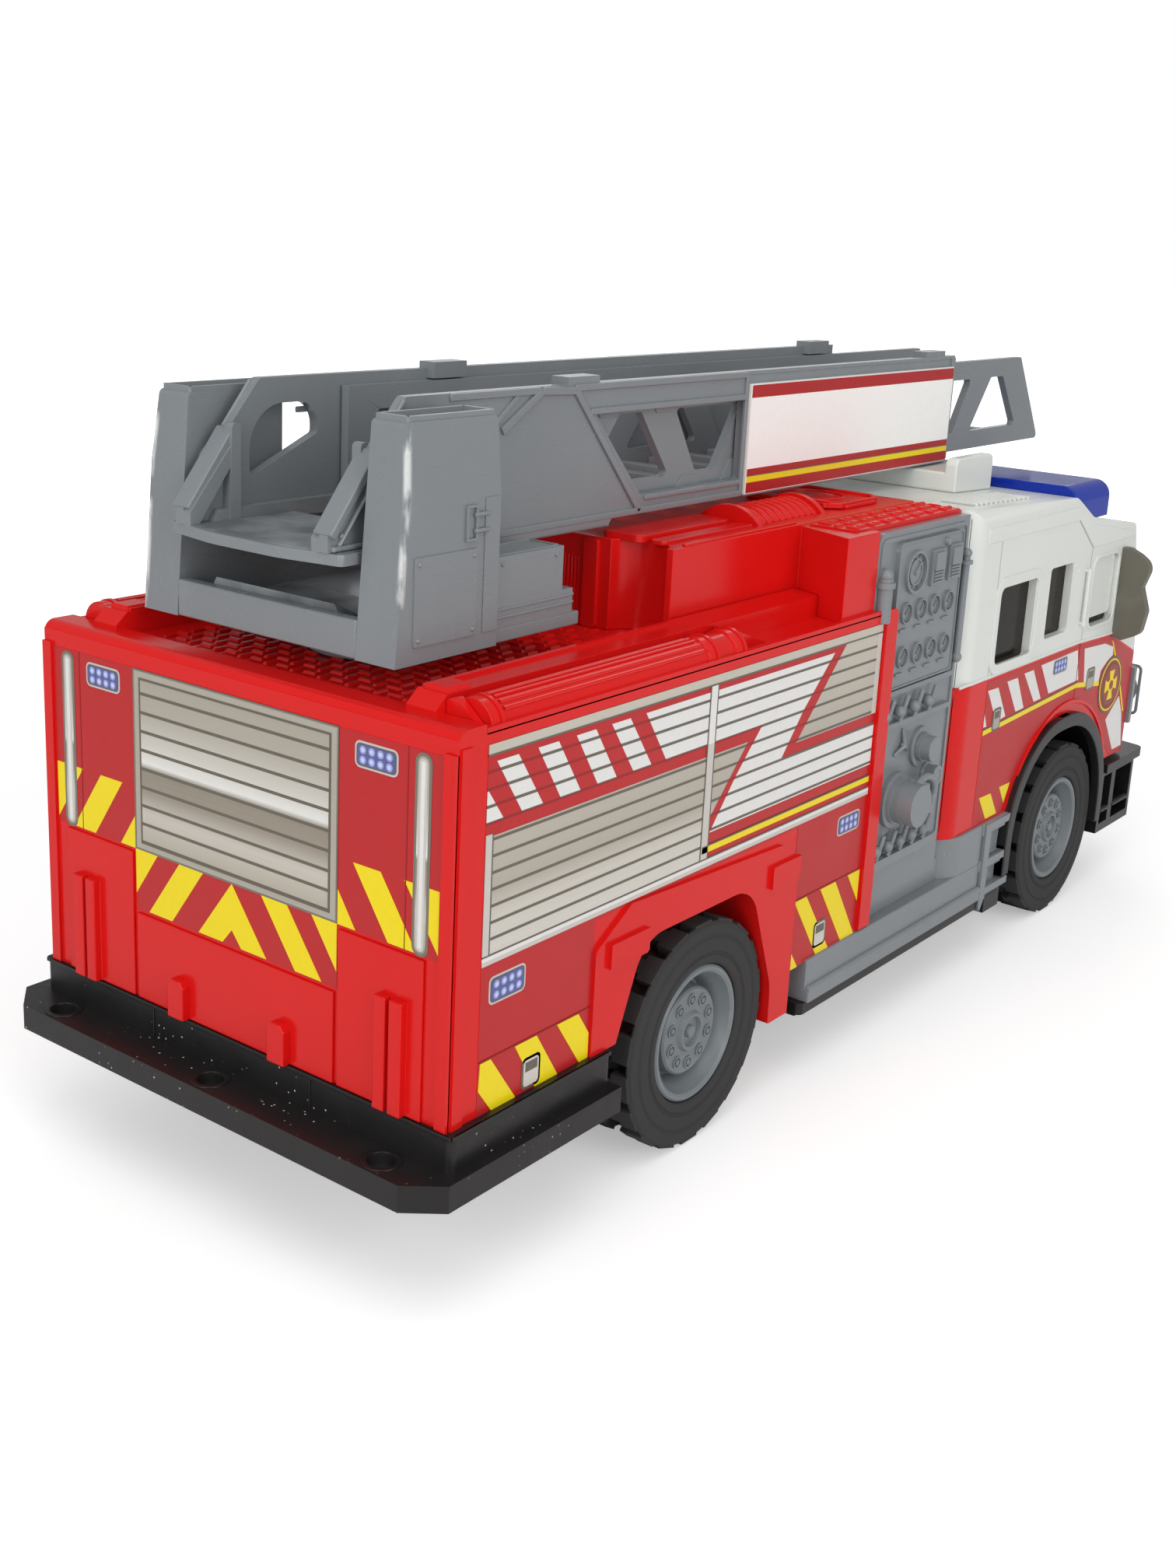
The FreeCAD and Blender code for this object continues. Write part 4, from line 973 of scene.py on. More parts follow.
def lever(bm, at, face):
    """Ball on the panel with a slanted bar in front of it."""
    y, z = at
    rod(bm, (face - 0.3, y + 1.1, z - 0.7), (face + 1.3, y + 1.1, z - 0.7), 0.9, sides=14)
    ball(bm, (face + 1.5, y + 1.1, z - 0.7), 1.35, rings=8)
    rod(bm, (face + 2.2, y - 0.9, z + 2.7), (face + 1.6, y + 0.9, z - 2.9), 0.55, sides=10)
    rod(bm, (face - 0.2, y + 0.2, z - 0.2), (face + 2.0, y, z), 0.6, sides=10)


class TOY_OT_pump_details(PieceOperator, bpy.types.Operator):
    """Add the gauges, meters, levers, valve wheel, handle and pipes of both pump panels"""
    bl_idname = "toy.pump_details"
    bl_label = "Pump Panel Details"

    def build(self, sizes):
        face, panel = GAUGE_FACE, PANEL_FACE
        bm = bmesh.new()
        border(bm, "yz", oblong((-24.3, 5.5), (80.0, 112.0), 1.5), 0.35, face - 0.1, face + 0.25)
        main = (-2.2, 105.1)
        dial(bm, main, 4.7, 0.8, face)
        for i in range(9):
            turn = 150 - 37.5 * i
            strip(bm, "yz", around(main, 3.2, turn), around(main, 3.8, turn), 0.3, face, face + 0.4)
        for y in (0.6, -6.2, -12.6, -19.2):
            for z in (96.5, 86.8):
                dial(bm, (y, z), 2.35, 0.7, face)
                block(bm, (face - 0.1, face + 0.45), (y - 0.7, y + 2.3), (z - 3.9, z - 3.4))
        for low, high, z in ((-15.0, -9.0, 101.1), (-23.0, -17.0, 101.4)):
            plate(bm, "yz", oblong((low, high), (z, z + 7.9), 0.4), face - 0.1, face + 0.8)
            plate(bm, "yz", oblong((low + 1.0, high - 0.5), (z + 3.4, z + 7.3), 0.3), face, face + 1.4)
            for i in range(4):
                block(bm, (face, face + 1.2), (low + 1.0, high - 0.8), (z + 0.6 + i * 0.7, z + 0.95 + i * 0.7))
        turned(bm, [(-0.2, 0.0), (1.1, 0.0), (0.9, 0.8), (-0.2, 1.0)], (face, -16.0, 110.2), steps=16)
        # pipes that stand beside the gauge plate
        rod(bm, (panel + 0.9, 10.8, 96.0), (panel + 0.9, 10.8, 105.4), 1.7)
        rod(bm, (panel + 0.9, 10.8, 103.4), (panel + 0.9, 10.8, 104.6), 2.15)
        ball(bm, (panel + 0.9, 10.8, 105.9), 1.6)
        rod(bm, (panel + 0.9, -27.1, 82.3), (panel + 0.9, -27.1, 106.0), 0.85, sides=16)
        for z, radius in ((106.2, 1.15), (82.3, 1.25)):
            ball(bm, (panel + 0.9, -27.1, z), radius, rings=8)
        rod(bm, (panel + 0.9, -27.1, 103.8), (panel + 0.9, -27.1, 104.6), 1.5, sides=18)
        border(bm, "yz", [(12.2, 39.5), (12.2, 113.4, 2.0), (-27.9, 113.4, 2.0), (-27.9, 39.5)], 0.9, panel - SUNK,
               panel + 0.35)
        finish_sides(bm, "pump_gauges", "grey moulding")

        bm = bmesh.new()
        plate(bm, "yz", oblong((-25.2, 4.8), (46.0, 70.6), 2.2), panel - 0.1, panel + 0.35)
        for z, places in ((75.4, (5.0, -1.5, -8.2, -14.9)), (44.3, (3.6, -1.9, -7.4, -12.9, -18.4))):
            for y in places:
                lever(bm, (y, z), panel)
        valve = (-4.7, 66.0)
        for turn in (90, 210, 330):
            rod(bm, (panel + 1.4, *valve), (panel + 0.5, *around(valve, 3.7, turn)), 0.55, sides=10,
                end_radius=0.3)
        ball(bm, (panel + 1.0, *valve), 0.8, rings=6)
        # hooked handle ahead of the suction port
        turns = [math.radians(angle) for angle in range(-135, 141, 15)]
        arc = [(panel + 5.2, -8.6 - 5.0 * math.cos(turn), 54.8 + 4.0 * math.sin(turn)) for turn in turns]
        for start, end in zip(arc, arc[1:]):
            rod(bm, start, end, 0.85, sides=10)
        for end in arc:
            ball(bm, end, 0.85, rings=5)
        # grooved collars on the ports
        for y, z, radius, reach in ((-3.0, 53.8, 4.8, 7.0), (-13.5, 64.0, 2.9, 4.0)):
            ring(bm, (panel + 1.6, y, z), radius + 0.45, radius - 0.3, 0.7)
            ring(bm, (panel + reach * 0.55, y, z), radius + 0.12, radius - 0.3, 0.5)
        ring(bm, (panel + 3.2, -18.0, 56.7), 2.35, 1.45, 0.5)
        finish_sides(bm, "pump_controls", "grey moulding")

        bm = bmesh.new()
        # painted shade: a near-black disc inside the port's collar stands for the dark depth of the bore
        disc(bm, (panel + 3.2, -18.0, 56.7), 1.4, 0.0, 0.25, steps=20)
        finish_sides(bm, "pump_port_bores", "deep black")


# ------------------------------------------------------------------ cab

class TOY_OT_cab_details(PieceOperator, bpy.types.Operator):
    """Add the cab's shoulder caps, window frames, seams, roof louvres and grab rails"""
    bl_idname = "toy.cab_details"
    bl_label = "Cab Details"

    def build(self, sizes):
        side = CAB_SIDE
        bm = bmesh.new()
        plate(bm, "yz", [(-36.5, 107.2), (-89.2, 107.2), (-100.4, 99.0), (-128.2, 99.0), (-127.9, 100.4),
                         (-98.8, 105.2), (-87.4, 110.6), (-36.5, 110.6)], side - 0.4, side + 0.3)
        border(bm, "yz", oblong((-69.7, -43.7), (74.6, 98.0), 4.2), 2.4, side - SUNK, side + 0.45)
        border(bm, "yz", oblong((-120.0, -102.0), (76.8, 96.4), 3.2), 0.8, side - SUNK, side + 0.3)
        for i in range(12):
            y = -40.0 - 2.6 * i
            roof = roof_at(y)
            plate(bm, "xy", oblong((36.4, 45.4), (y - 0.9, y), 0.3), roof - 0.3, roof + 0.6)
        # ridge along the belt and a grab rail by the door
        block(bm, (side - SUNK, side + 0.3), (-98.8, -29.3), (74.2, 74.9))
        strip(bm, "yz", (-98.4, 74.5), (-121.0, 73.5), 0.7, side - SUNK, side + 0.3)
        rod(bm, (side + 0.9, -97.4, 79.0), (side + 0.9, -97.4, 94.0), 0.5, sides=12)
        for z in (79.6, 93.4):
            rod(bm, (side - SUNK, -97.4, z), (side + 0.9, -97.4, z), 0.5, sides=10)
        finish_sides(bm, "cab_trim", "white moulding", 0.15)

        bm = bmesh.new()
        for start, end, width in (((-100.0, 98.7), (-100.0, 74.6), 0.35),
                                  ((-44.2, 107.0), (-44.2, 74.6), 0.3),
                                  ((-100.4, 98.8), (-89.2, 107.0), 0.3)):
            strip(bm, "yz", start, end, width, side - SUNK, side + 0.03)
        for i in range(12):
            y = -38.7 - 2.6 * i
            roof = roof_at(y)
            block(bm, (36.8, 45.0), (y - 1.2, y), (roof - 0.3, roof + 0.08))
        finish_sides(bm, "cab_seams", "seam shadow")

        bm = bmesh.new()
        # painted shade: a dark red strip where the door's groove is, not a cut groove
        strip(bm, "yz", (-99.6, 58.2), (-99.6, 73.9), 0.35, side - SUNK, side + 0.12)
        finish_sides(bm, "door_seams", "red seam")

        bm = bmesh.new()
        plate(bm, "yz", oblong((-118.6, -103.4), (79.6, 95.3), 1.2), side - 1.5, side - 0.8)
        finish_sides(bm, "side_blinds", "white moulding", 0.15)

        bm = bmesh.new()
        arch = [around((-95.6, 26.0), radius, angle) for radius, sweep in
                ((32.3, range(20, 161, 5)), (33.3, range(160, 19, -5))) for angle in sweep]
        plate(bm, "yz", arch, side - SUNK, side + 0.45)
        finish_sides(bm, "arch_ridges", "red moulding", 0.12)


class TOY_OT_front_details(PieceOperator, bpy.types.Operator):
    """Add the grille slats, head lamps, blank plate, wipers, flare lips and the bumper's cross bars"""
    bl_idname = "toy.front_details"
    bl_label = "Front Details"

    def build(self, sizes):
        face = span("front_grille")[0].y
        bm = bmesh.new()
        for i in range(7):
            z = 44.2 + 2.8 * i
            tapered(bm, (-24.0, 24.0), (CAB_FRONT - 3.6, CAB_FRONT - 2.6), (z, z + 1.5), 0.3)
        for x in (-8.2, 8.2):
            block(bm, (x - 0.5, x + 0.5), (CAB_FRONT - 3.9, CAB_FRONT - 2.6), (43.0, 63.4))
        border(bm, "xz", oblong((-26.0, 26.0), (42.0, 64.0), 1.6), 1.2, CAB_FRONT - 2.8, CAB_FRONT - 4.0)
        finish_piece(bm, "grille_slats", "grey moulding", 0.15)

        bm = bmesh.new()
        for x in (33.4, 44.6):
            turned(bm, [(-0.5, 0.0), (0.4, 0.0), (0.3, 3.4), (0.0, 4.7), (-0.5, 4.7)], (x, face, 52.5),
                   axis=(0, -1, 0))
        finish_sides(bm, "head_lamps", "lamp silver")
        bm = bmesh.new()
        for x in (33.4, 44.6):
            ring(bm, (x, face, 52.5), 5.5, 4.6, 0.7, axis=(0, -1, 0))
        border(bm, "xz", oblong((27.4, 51.0), (45.2, 59.8), 1.6), 0.8, face + 0.2, face - 0.35)
        finish_sides(bm, "head_lamp_rims", "grey moulding", 0.1)

        bm = bmesh.new()
        front = span("front_bumper")[0].y
        plate(bm, "xz", oblong((-16.0, 16.0), (21.5, 29.6), 0.8), front + 3.4, front + 2.2)
        border(bm, "xz", oblong((-17.0, 17.0), (20.6, 30.5), 1.0), 0.8, front + 3.4, front + 1.9)
        for x in (-33.0, 33.0):
            plate(bm, "xz", oblong((x - 6.5, x + 6.5), (20.0, 30.0), 2.0), front + 1.6, front + 0.7)
        for y in ((-133.7, -128.4), (-148.2, -136.9)):
            for x in ((-51.0, -47.4), (47.4, 51.0)):
                rod(bm, (x[0], y[0], 21.4), (x[0], y[1], 21.4), 0.7, sides=10)
                block(bm, x, (y[0] + 0.1, y[1] - 0.1), (20.8, 22.2))
        finish_piece(bm, "bumper_trim", "black moulding", 0.15)

        bm = bmesh.new()
        border(bm, "yz", [(-125.6, 10.0), (-125.6, 56.0, 30.0), (-62.5, 56.0, 28.0), (-62.5, 10.0)], 3.6, 50.0,
               52.5,
               steps=14)
        cut(bm, (0, 0, 20.0), (0, 0, 1), clear_inner=True)
        finish_sides(bm, "flare_lips", "black moulding", 0.3)

        bm = bmesh.new()
        for x in (-30.0, 4.0):
            strip(bm, "xz", (x, 71.0), (x + 24.0, 77.5), 0.9, CAB_FRONT + 3.6, CAB_FRONT - 0.3)
        finish_piece(bm, "wipers", "black moulding", 0.12)


# ------------------------------------------------------------------ wheels

# Columns: depth behind the wheel's face, radius
RIM_TABLE = [(1.7, 0.0), (1.7, 1.1), (2.5, 1.4), (2.5, 2.8), (1.6, 3.1), (1.5, 3.7), (2.3, 4.2), (2.3, 8.5),
             (2.7, 8.9), (6.4, 9.4), (6.6, 10.3), (4.0, 10.9), (3.6, 11.2), (1.8, 12.0), (0.95, 12.3), (0.6, 12.8),
             (0.6, 13.4), (0.95, 13.8), (2.0, 14.0), (17.7, 14.0), (17.7, 11.5), (12.0, 10.5), (12.0, 2.2),
             (17.7, 2.2), (17.7, 0.0)]
TYRE_TABLE = [(2.0, 13.9), (0.7, 14.1), (0.3, 14.5), (0.2, 15.8), (0.55, 16.0), (0.55, 16.5), (0.15, 16.8),
              (0.1, 19.2),
              (0.4, 19.5), (0.4, 19.9), (0.1, 20.2), (0.2, 22.1), (0.7, 22.7), (1.2, 22.7), (1.4, 20.4),
              (16.6, 20.4),
              (16.8, 22.6), (17.3, 22.4), (17.7, 20.0), (17.7, 13.9), (2.0, 13.9)]


def tyre_block(bm, axle, angle, outer, reach):
    """T-shaped tread block across half of the tyre; outer is False for the row on the vehicle's side."""
    made, back = [], WHEEL_FACE - WHEEL_WIDTH
    for near, far, half in ((0.6, 4.3, 2.75), (4.1, reach, 1.6)):
        x = (WHEEL_FACE - far, WHEEL_FACE - near) if outer else (back + near, back + far)
        made += block(bm, x, (-half, half), (20.0, TYRE_R - 0.24))
    bmesh.ops.rotate(bm, cent=(0, 0, 0), matrix=Matrix.Rotation(angle, 3, "X"), verts=made)
    bmesh.ops.translate(bm, vec=(0, *axle), verts=made)


class TOY_OT_wheels(PieceOperator, bpy.types.Operator):
    """Turn the dished rims with their nuts and the block-treaded tyres"""
    bl_idname = "toy.wheels"
    bl_label = "Wheels"

    def build(self, sizes):
        for end, centre in AXLES.items():
            axle = (centre.y, centre.z)
            body = end + "_wheels"
            bm = bmesh.new()
            turned(bm, [(-depth, radius) for depth, radius in RIM_TABLE], (WHEEL_FACE, *axle), steps=64)
            for i in range(sizes.wheel_nuts):
                at = (WHEEL_FACE - 2.3, *around(axle, 6.6, 90 - 360 * i / sizes.wheel_nuts))
                ring(bm, at, 1.3, 0.95, 0.3, steps=14)
                turned(bm, [(-0.3, 0.0), (0.5, 0.0), (0.5, 0.35), (0.35, 0.62), (-0.3, 0.62)], at, steps=6)
            finish_sides(bm, end + "_dished_rims", "rim grey", body=body, stands_for=(end + "_rims",))

            bm = bmesh.new()
            turned(bm, [(-depth, radius) for depth, radius in TYRE_TABLE], (WHEEL_FACE, *axle), steps=104)
            step = 2 * math.pi / sizes.tyre_blocks
            for i in range(sizes.tyre_blocks):
                tyre_block(bm, axle, step * i, True, 9.0 - 2.6 * (i % 2))
                tyre_block(bm, axle, step * (i + 0.5), False, 6.4 + 2.6 * (i % 2))
            finish_sides(bm, end + "_treaded_tyres", "tyre", 0.15, body=body, stands_for=(end + "_tyres",))


# ------------------------------------------------------------------ turntable

class TOY_OT_turntable_details(PieceOperator, bpy.types.Operator):
    """Add the towers' rims, panels, door, hinge brackets and the sloped board between them"""
    bl_idname = "toy.turntable_details"
    bl_label = "Turntable Details"

    def build(self, sizes):
        side, top = TOWER_SIDE, TOWER_TOP
        bm = bmesh.new()
        plate(bm, "yz", [(134.6, 121.6), (134.6, 106.9, 0.4), (119.2, 106.9, 0.4), (119.2, 121.6, 0.4)],
              side - SUNK,
              side + 0.35)
        for y in (120.2, 133.6):
            for z in (108.0, 120.5):
                ball(bm, (side + 0.3, y, z), 0.45, rings=5)
        # rim round the top and the strip ahead of the door
        border(bm, "xy", oblong((22.0, 29.2), (113.7, 135.0), 0.4), 0.8, top - SUNK, top + 0.9)
        block(bm, (side - SUNK, side + 0.25), (113.6, 117.4), (106.9, 129.8))
        border(bm, "yz", [(122.4, 122.9), (119.6, 122.9), (119.6, 128.9), (122.4, 128.9)], 0.45, side, side + 0.55)
        for z in (124.5, 127.2):
            rod(bm, (side + 0.35, 120.4, z), (side + 0.35, 116.8, z), 0.4, sides=10)
        finish_sides(bm, "tower_panels", "grey worn", 0.15, body="turntable")

        bm = bmesh.new()
        for level in (108.2, 109.6):
            block(bm, (29.7, 30.15), (91.8, 113.2), (level, level + 0.5))
            block(bm, (22.0, 29.9), (91.0, 91.6), (level, level + 0.5))
        border(bm, "xy", oblong((22.3, 29.4), (95.0, 112.8), 0.6), 0.5, 118.8, 119.25)
        for y in (96.6, 111.4):
            ball(bm, (29.9, y, 117.6), 0.4, rings=5)
        finish_sides(bm, "step_block_trim", "grey moulding", 0.12, body="turntable")

        bm = bmesh.new()
        plate(bm, "yz", [(136.0, 106.4), (136.0, 111.8), (134.6, 111.2), (131.0, 109.2), (127.0, 107.9),
                         (120.0, 107.4),
                         (114.0, 107.4), (114.0, 106.4)], -17.6, 17.6)
        for end in (-1, 1):
            cut(bm, (end * 17.6, 0, 106.5), (end, 0, 0.6), clear_outer=True)
        finish_piece(bm, "tray_board", "grey dusty", 0.15, body="turntable")


# ------------------------------------------------------------------ ladder

def rail(bm, points, width, low, high):
    """Straight bars through flat side points, one after another."""
    for start, end in zip(points, points[1:]):
        strip(bm, "yz", start, end, width, low, high)


class TOY_OT_ladder_details(PieceOperator, bpy.types.Operator):
    """Add the frame ridges, rails, brackets, rivets and platform furniture of the ladder"""
    bl_idname = "toy.ladder_details"
    bl_label = "Ladder Details"

    def build(self, sizes):
        face, sunk = LADDER_FACE, LADDER_FACE - 0.3
        bm = bmesh.new()
        rail(bm, [(99.2, 138.1), (88.2, 144.6), (78.2, 144.2), (56.2, 119.9)], 1.5, sunk, face + 0.6)
        rail(bm, [(78.4, 144.7), (19.3, 144.7)], 1.3, sunk, face + 0.5)
        rail(bm, [(113.2, 144.7), (88.6, 144.7)], 1.3, sunk, face + 0.5)
        rail(bm, [(113.2, 139.1), (101.4, 139.1), (94.9, 144.1)], 1.1, sunk, face + 0.4)
        rail(bm, [(73.6, 140.1), (19.3, 140.1)], 1.2, sunk, face + 0.6)
        rail(bm, [(54.6, 122.3), (19.3, 122.3)], 1.0, sunk, face + 0.5)
        rail(bm, [(100.9, 119.9), (19.3, 119.9)], 1.3, sunk, face + 0.6)
        block(bm, (sunk, face + 0.55), (18.9, 20.1), (119.4, 145.0))
        rail(bm, [(-75.9, 119.9), (-75.9, 145.0)], 1.6, sunk, face + 0.6)
        rail(bm, [(18.9, 145.0), (-75.9, 145.0)], 0.9, face - 0.6, face + 0.2)
        rail(bm, [(18.9, 119.55), (-75.9, 119.55)], 0.7, sunk, face + 0.9)
        # lipped foot of the closed panel
        plate(bm, "yz", [(101.0, 118.0), (66.4, 118.0), (64.8, 119.8), (101.0, 119.8)], face - 1.8, face + 0.5)
        block(bm, (sunk, face + 0.5), (101.0, 113.2), (119.3, 121.0))
        finish_sides(bm, "ladder_ridges", "grey worn", 0.22, body="ladder")

        bm = bmesh.new()
        for table in ([(67.9, 141.0), (67.4, 138.3, 0.8), (61.4, 138.3, 0.8), (60.6, 141.0)],
                      [(49.7, 141.0), (48.6, 138.2, 0.8), (43.0, 138.2, 0.8), (42.0, 141.0)],
                      [(40.8, 121.8), (38.2, 125.0, 0.6), (32.4, 125.0, 0.6), (30.9, 121.8)],
                      [(24.2, 121.8), (20.8, 127.0, 0.6), (18.2, 127.0), (18.2, 121.8)]):
            plate(bm, "yz", table, 15.7, 16.3)
        for y, z in ((65.8, 139.4), (62.8, 139.4), (47.4, 139.4), (44.4, 139.4), (37.0, 123.2), (33.8, 123.2),
                     (21.4, 123.0), (19.2, 124.6)):
            turned(bm, [(0.0, 0.0), (0.36, 0.0), (0.25, 0.5), (0.0, 0.7)], (16.0, y, z), steps=12)
        finish_sides(bm, "ladder_brackets", "grey moulding", 0.1, body="extension")

        bm = bmesh.new()
        # flanges along the slanted rear edge, with a slot between them on the outer face
        rail(bm, [(141.2, 124.0), (130.8, 137.0)], 1.6, 15.0, face + 0.9)
        rail(bm, [(139.6, 122.4), (129.4, 134.8)], 0.7, sunk, face + 0.9)
        rail(bm, [(141.0, 122.0), (134.2, 122.0)], 0.9, sunk, face + 0.9)
        ball(bm, (face + 0.1, 138.6, 123.9), 0.6, rings=6)
        rail(bm, [(130.8, 137.0), (124.2, 144.9)], 1.0, sunk, face + 0.4)
        finish_sides(bm, "platform_rails", "grey moulding", 0.3, body="ladder")
        bm = bmesh.new()
        plate(bm, "xy", [(-19.8, 134.8), (-19.8, 140.0), (-8.0, 142.2, 20.0), (8.0, 142.2, 20.0), (19.8, 140.0),
                         (19.8, 134.8), (14.4, 133.4), (14.4, 117.4), (-14.4, 117.4), (-14.4, 133.4)], 121.2,
                         121.5)
        finish_piece(bm, "platform_floor", "grey dusty", 0.1, body="ladder")


# ------------------------------------------------------------------ roof and running gear

class TOY_OT_roof_details(PieceOperator, bpy.types.Operator):
    """Add the hose roll's ribs, the blocks behind it, the hatch ring and the fine wall ribs"""
    bl_idname = "toy.roof_details"
    bl_label = "Housing Roof Details"

    def build(self, sizes):
        roll = Vector((-23.6, 0.0, span("hose_roll")[1].z - 9.0))
        bm = bmesh.new()
        for i in range(9):
            turned(bm, [(-0.55, 0.0), (-0.55, 9.15), (0.0, 9.45), (0.55, 9.15), (0.55, 0.0)],
                   roll + Vector((0, 7.0 + 2.6 * i, 0)), axis=(0, 1, 0))
        for y in (4.9, 30.4):
            drum(bm, roll + Vector((0, y, 0)), 9.9, 0.8)
        cut(bm, (0, 0, 115.5), (0, 0, 1), clear_inner=True)
        finish_piece(bm, "hose_roll_ribs", "red moulding", 0.08)

        top = SHELF_TOP + 0.4
        bm = bmesh.new()
        # stepped block behind the roll, ridge along the roof and frame of the hatch
        plate(bm, "xy", oblong((-26.5, -16.6), (34.5, 66.0), 2.0), top - 0.3, top + 1.2)
        plate(bm, "xy", oblong((-31.0, -27.4), (33.0, 64.6), 1.0), top - 0.3, top + 0.6)
        border(bm, "xy", [(-31.0, -3.0), (-28.0, 0.0), (-9.0, 0.0), (-6.0, -3.0), (-6.0, -19.0), (-9.0, -22.0),
                          (-28.0, -22.0), (-31.0, -19.0)], 1.1, HOUSING_TOP + 0.2, HOUSING_TOP + 1.3)
        ring(bm, (-18.5, -11.0, HOUSING_TOP + 0.4), 7.6, 7.0, 0.75, axis=(0, 0, 1))
        for x in (-27.4, -9.6):
            block(bm, (x - 1.4, x + 1.4), (-1.8, -0.6), (HOUSING_TOP + 0.2, HOUSING_TOP + 1.7))
        for s in (-1, 1):
            block(bm, sorted((s * (HOUSING_SIDE - 1.4), s * (HOUSING_SIDE - 0.5))), (22.4, 63.0),
                  (top - SUNK, top + 0.45))
        # hatch, lid and vents of the half that the hose roll leaves free
        border(bm, "xy", oblong((7.0, 31.0), (26.0, 52.0), 2.0), 1.0, top - SUNK, top + 0.9)
        plate(bm, "xy", oblong((9.6, 28.4), (28.6, 49.4), 1.4), top - SUNK, top + 0.7)
        for i in range(6):
            block(bm, (10.0, 28.0), (-18.0 + 3.4 * i, -16.4 + 3.4 * i), (top - SUNK, top + 0.8))
        for i in range(17):
            for s in (-1, 1):
                x = s * (0.45 + 0.85 * i)
                rod(bm, (x, HOUSING_BACK, 98.0), (x, HOUSING_BACK, 111.4), 0.3, sides=8)
        for s in (-1, 1):
            plate(bm, "xz", oblong(sorted((s * 14.8, s * 18.2)), (DECK, 115.4), 0.8), HOUSING_BACK - SUNK,
                  HOUSING_BACK + 0.9)
        finish_piece(bm, "housing_trim", "red moulding", 0.15)


class TOY_OT_lower_details(PieceOperator, bpy.types.Operator):
    """Add the rails of the running boards, the step treads and the underside's cover and bosses"""
    bl_idname = "toy.lower_details"
    bl_label = "Steps and Underside"

    def build(self, sizes):
        low, high = span("running_boards")
        board = 26.8
        bm = bmesh.new()
        block(bm, (38.0, 51.6), (-49.9, high.y), (low.z, board))
        block(bm, (51.0, high.x), (-49.9, high.y), (low.z, 20.4))
        block(bm, (38.0, 48.8), (-45.0, high.y - 0.1), (board - SUNK, 32.4))
        plate(bm, "xy", [(38.0, -28.9), (51.6, -28.9, 9.5), (51.6, -49.9, 0.5), (38.0, -49.9)], board - SUNK,
              36.8, steps=10)
        finish_sides(bm, "stepped_boards", "grey moulding", 0.35, stands_for=("running_boards",))

        bm = bmesh.new()
        rod(bm, (high.x - 0.8, -49.8, 20.0), (high.x - 0.8, 32.4, 20.0), 0.9, sides=14)
        plate(bm, "yz", [(-50.3, 36.6), (-50.3, 15.4), (-51.2, 13.9), (-53.2, 17.0), (-53.2, 36.6)], 50.2, 52.4)
        for level in (19.6, 27.2, 36.6):
            block(bm, (48.0, 52.3), (-66.0, -53.0), (level - 1.9, level))
        finish_sides(bm, "step_treads", "grey moulding", 0.15)

        base = span("base_plate")[0].z
        bm = bmesh.new()
        plate(bm, "xy", oblong((-17.0, 17.0), (-24.0, 34.0), 2.0), base - 0.1, base + 0.2)
        for s in (-1, 1):
            plate(bm, "xy", oblong(sorted((s * 46.0, s * 51.9)), (-52.0, 34.4), 1.5), 14.8, 17.4)
            block(bm, sorted((s * 45.0, s * 51.8)), (-63.2, -54.6), (12.4, 17.4))
        finish_piece(bm, "floor_cover", "black moulding", 0.1)


# ------------------------------------------------------------------ stage

class TOY_OT_stage(PieceOperator, bpy.types.Operator):
    """Place the floor, the lamps and the camera"""
    bl_idname = "toy.stage"
    bl_label = "Stage"

    def build(self, sizes):
        floor()
        surroundings()
        lamps()
        camera()


FLOOR_LIFT, WORLD_LEVEL = 0.36, 0.42


def floor():
    """Pale floor that fades to white, for the camera only, away from the toy."""
    bm = bmesh.new()
    bmesh.ops.create_grid(bm, x_segments=1, y_segments=1, size=6.0)
    mesh = bpy.data.meshes.new("studio_floor")
    bm.to_mesh(mesh)
    bm.free()
    ground = bpy.data.objects.new("studio_floor", mesh)
    bpy.context.scene.collection.objects.link(ground)
    shader = Shader("studio floor")
    seen = shader.node("LightPath", "Is Camera Ray")
    reach = shader.node("VectorMath", "Value", {0: shader.place}, operation="LENGTH")
    lift = shader.span(reach, 0.22, 0.7, FLOOR_LIFT, 0.9)
    shader.feed(shader.surface["Emission Color"], (1.0, 1.0, 1.0))
    shader.feed(shader.surface["Emission Strength"], shader.maths("MULTIPLY", lift, seen))
    mesh.materials.append(shader.coated((0.86, 0.86, 0.86), 0.9))


def surroundings():
    """Even white light that the camera sees as a white background."""
    world = bpy.data.worlds.new("studio")
    bpy.context.scene.world = world
    world.use_nodes = True
    tree = world.node_tree
    back = tree.nodes["Background"]
    path = tree.nodes.new("ShaderNodeLightPath")
    strength = tree.nodes.new("ShaderNodeMapRange")
    strength.inputs["To Min"].default_value = WORLD_LEVEL
    strength.inputs["To Max"].default_value = 1.0
    tree.links.new(path.outputs["Is Camera Ray"], strength.inputs["Value"])
    tree.links.new(strength.outputs["Result"], back.inputs["Strength"])
    back.inputs["Color"].default_value = (1.0, 1.0, 1.0, 1.0)


LAMP_SIZE, LAMP_AIM = 0.7, Vector((0, 0, 0.06))
# Columns: name, place in metres, watts
LAMPS = [
    ("overhead_softbox", (-0.25, 0.35, 0.95), 2.5),
    ("right_softbox", (-1.0, 0.30, 0.42), 4.3),
    ("rear_softbox", (-0.12, 1.15, 0.45), 4.6),
    ("front_softbox", (0.6, -1.0, 0.7), 2.6),
]


def lamps():
    for name, place, power in LAMPS:
        data = bpy.data.lights.new(name, "AREA")
        data.size, data.energy = LAMP_SIZE, power
        lamp = bpy.data.objects.new(name, data)
        lamp.location = place
        lamp.rotation_mode = "QUATERNION"
        lamp.rotation_quaternion = (LAMP_AIM - Vector(place)).to_track_quat("-Z", "Y")
        bpy.context.scene.collection.objects.link(lamp)


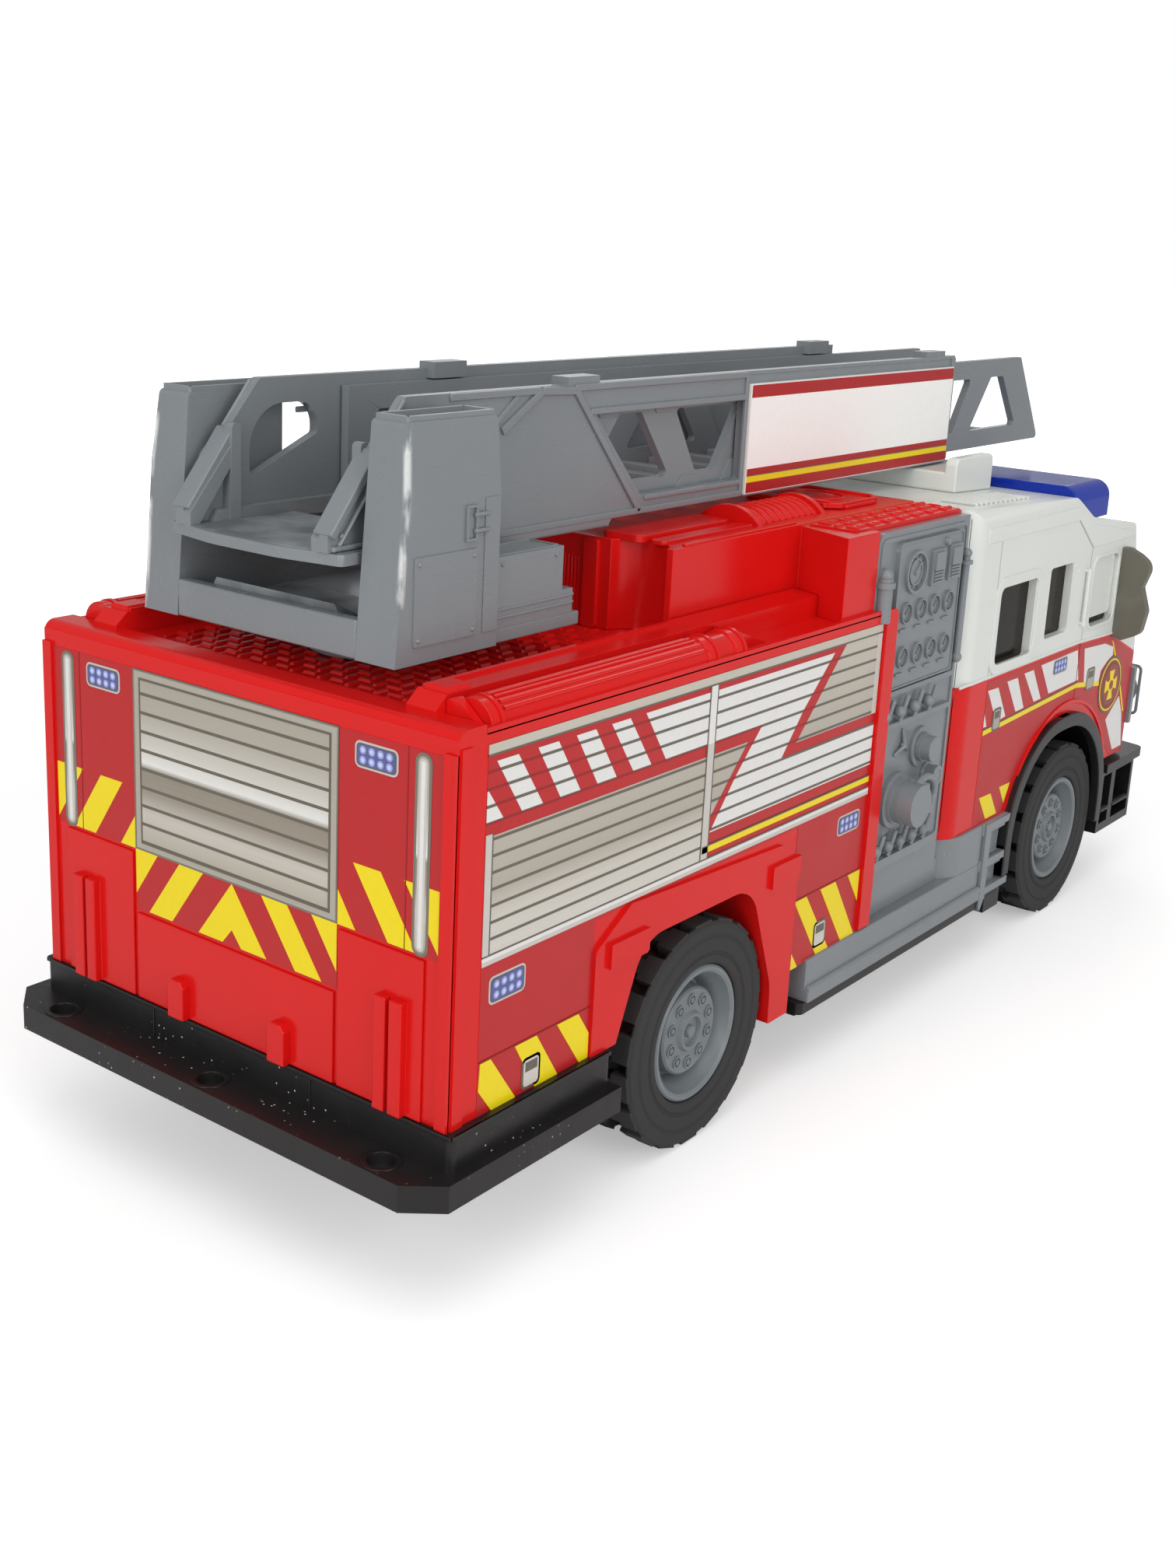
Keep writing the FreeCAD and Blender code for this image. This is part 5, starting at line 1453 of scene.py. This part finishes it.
CAMERA_PLACE = (-0.2203, 0.3432, 0.1755)
CAMERA_RIGHT = Vector((-0.78182, -0.62214, 0.04220))
CAMERA_DOWN = Vector((-0.20009, 0.18616, -0.96193))
CAMERA_AHEAD = Vector((0.59055, -0.76050, -0.27002))


def camera():
    """Camera behind the right rear corner, slightly above the deck."""
    data = bpy.data.cameras.new("view")
    data.sensor_width, data.lens = 36.0, 41.19
    data.shift_x, data.shift_y = 0.0278, -0.0437
    data.clip_start, data.clip_end = 0.01, 30.0
    view = bpy.data.objects.new("view", data)
    axes = Matrix((CAMERA_RIGHT, -CAMERA_DOWN, -CAMERA_AHEAD)).transposed()
    view.matrix_world = Matrix.Translation(CAMERA_PLACE) @ axes.to_4x4()
    bpy.context.scene.collection.objects.link(view)
    bpy.context.scene.camera = view
    bpy.context.scene.view_settings.view_transform = "Standard"


# ------------------------------------------------------------------ panel and registration

STEPS = [
    TOY_OT_mouldings, TOY_OT_treads, TOY_OT_body_trim, TOY_OT_side_stickers, TOY_OT_rear_stickers,
    TOY_OT_cab_stickers, TOY_OT_sign_stickers, TOY_OT_pump_details, TOY_OT_cab_details, TOY_OT_front_details,
    TOY_OT_wheels, TOY_OT_turntable_details, TOY_OT_ladder_details, TOY_OT_roof_details, TOY_OT_lower_details,
    TOY_OT_stage,
]


class TOY_PT_engine(bpy.types.Panel):
    """Building steps of the toy fire engine"""
    bl_idname = "TOY_PT_engine"
    bl_label = "Toy Fire Engine"
    bl_space_type = "VIEW_3D"
    bl_region_type = "UI"
    bl_category = "Toy Engine"

    def draw(self, context):
        for step in STEPS:
            self.layout.operator(step.bl_idname)
        for group in (context.scene.toy_engine_finish, context.scene.toy_engine_sizes):
            box = self.layout.box()
            for key in group.bl_rna.properties.keys():
                if key not in ("rna_type", "name"):
                    box.prop(group, key)


CLASSES = [ToyEngineFinish, ToyEngineSizes, *STEPS, TOY_PT_engine]


def register():
    for cls in CLASSES:
        bpy.utils.register_class(cls)
    bpy.types.Scene.toy_engine_finish = PointerProperty(type=ToyEngineFinish)
    bpy.types.Scene.toy_engine_sizes = PointerProperty(type=ToyEngineSizes)


def unregister():
    del bpy.types.Scene.toy_engine_sizes
    del bpy.types.Scene.toy_engine_finish
    for cls in reversed(CLASSES):
        bpy.utils.unregister_class(cls)


def main():
    register()
    for step in STEPS:
        getattr(bpy.ops.toy, step.bl_idname.split(".")[1])()
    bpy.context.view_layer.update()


if __name__ == "__main__":
    main()
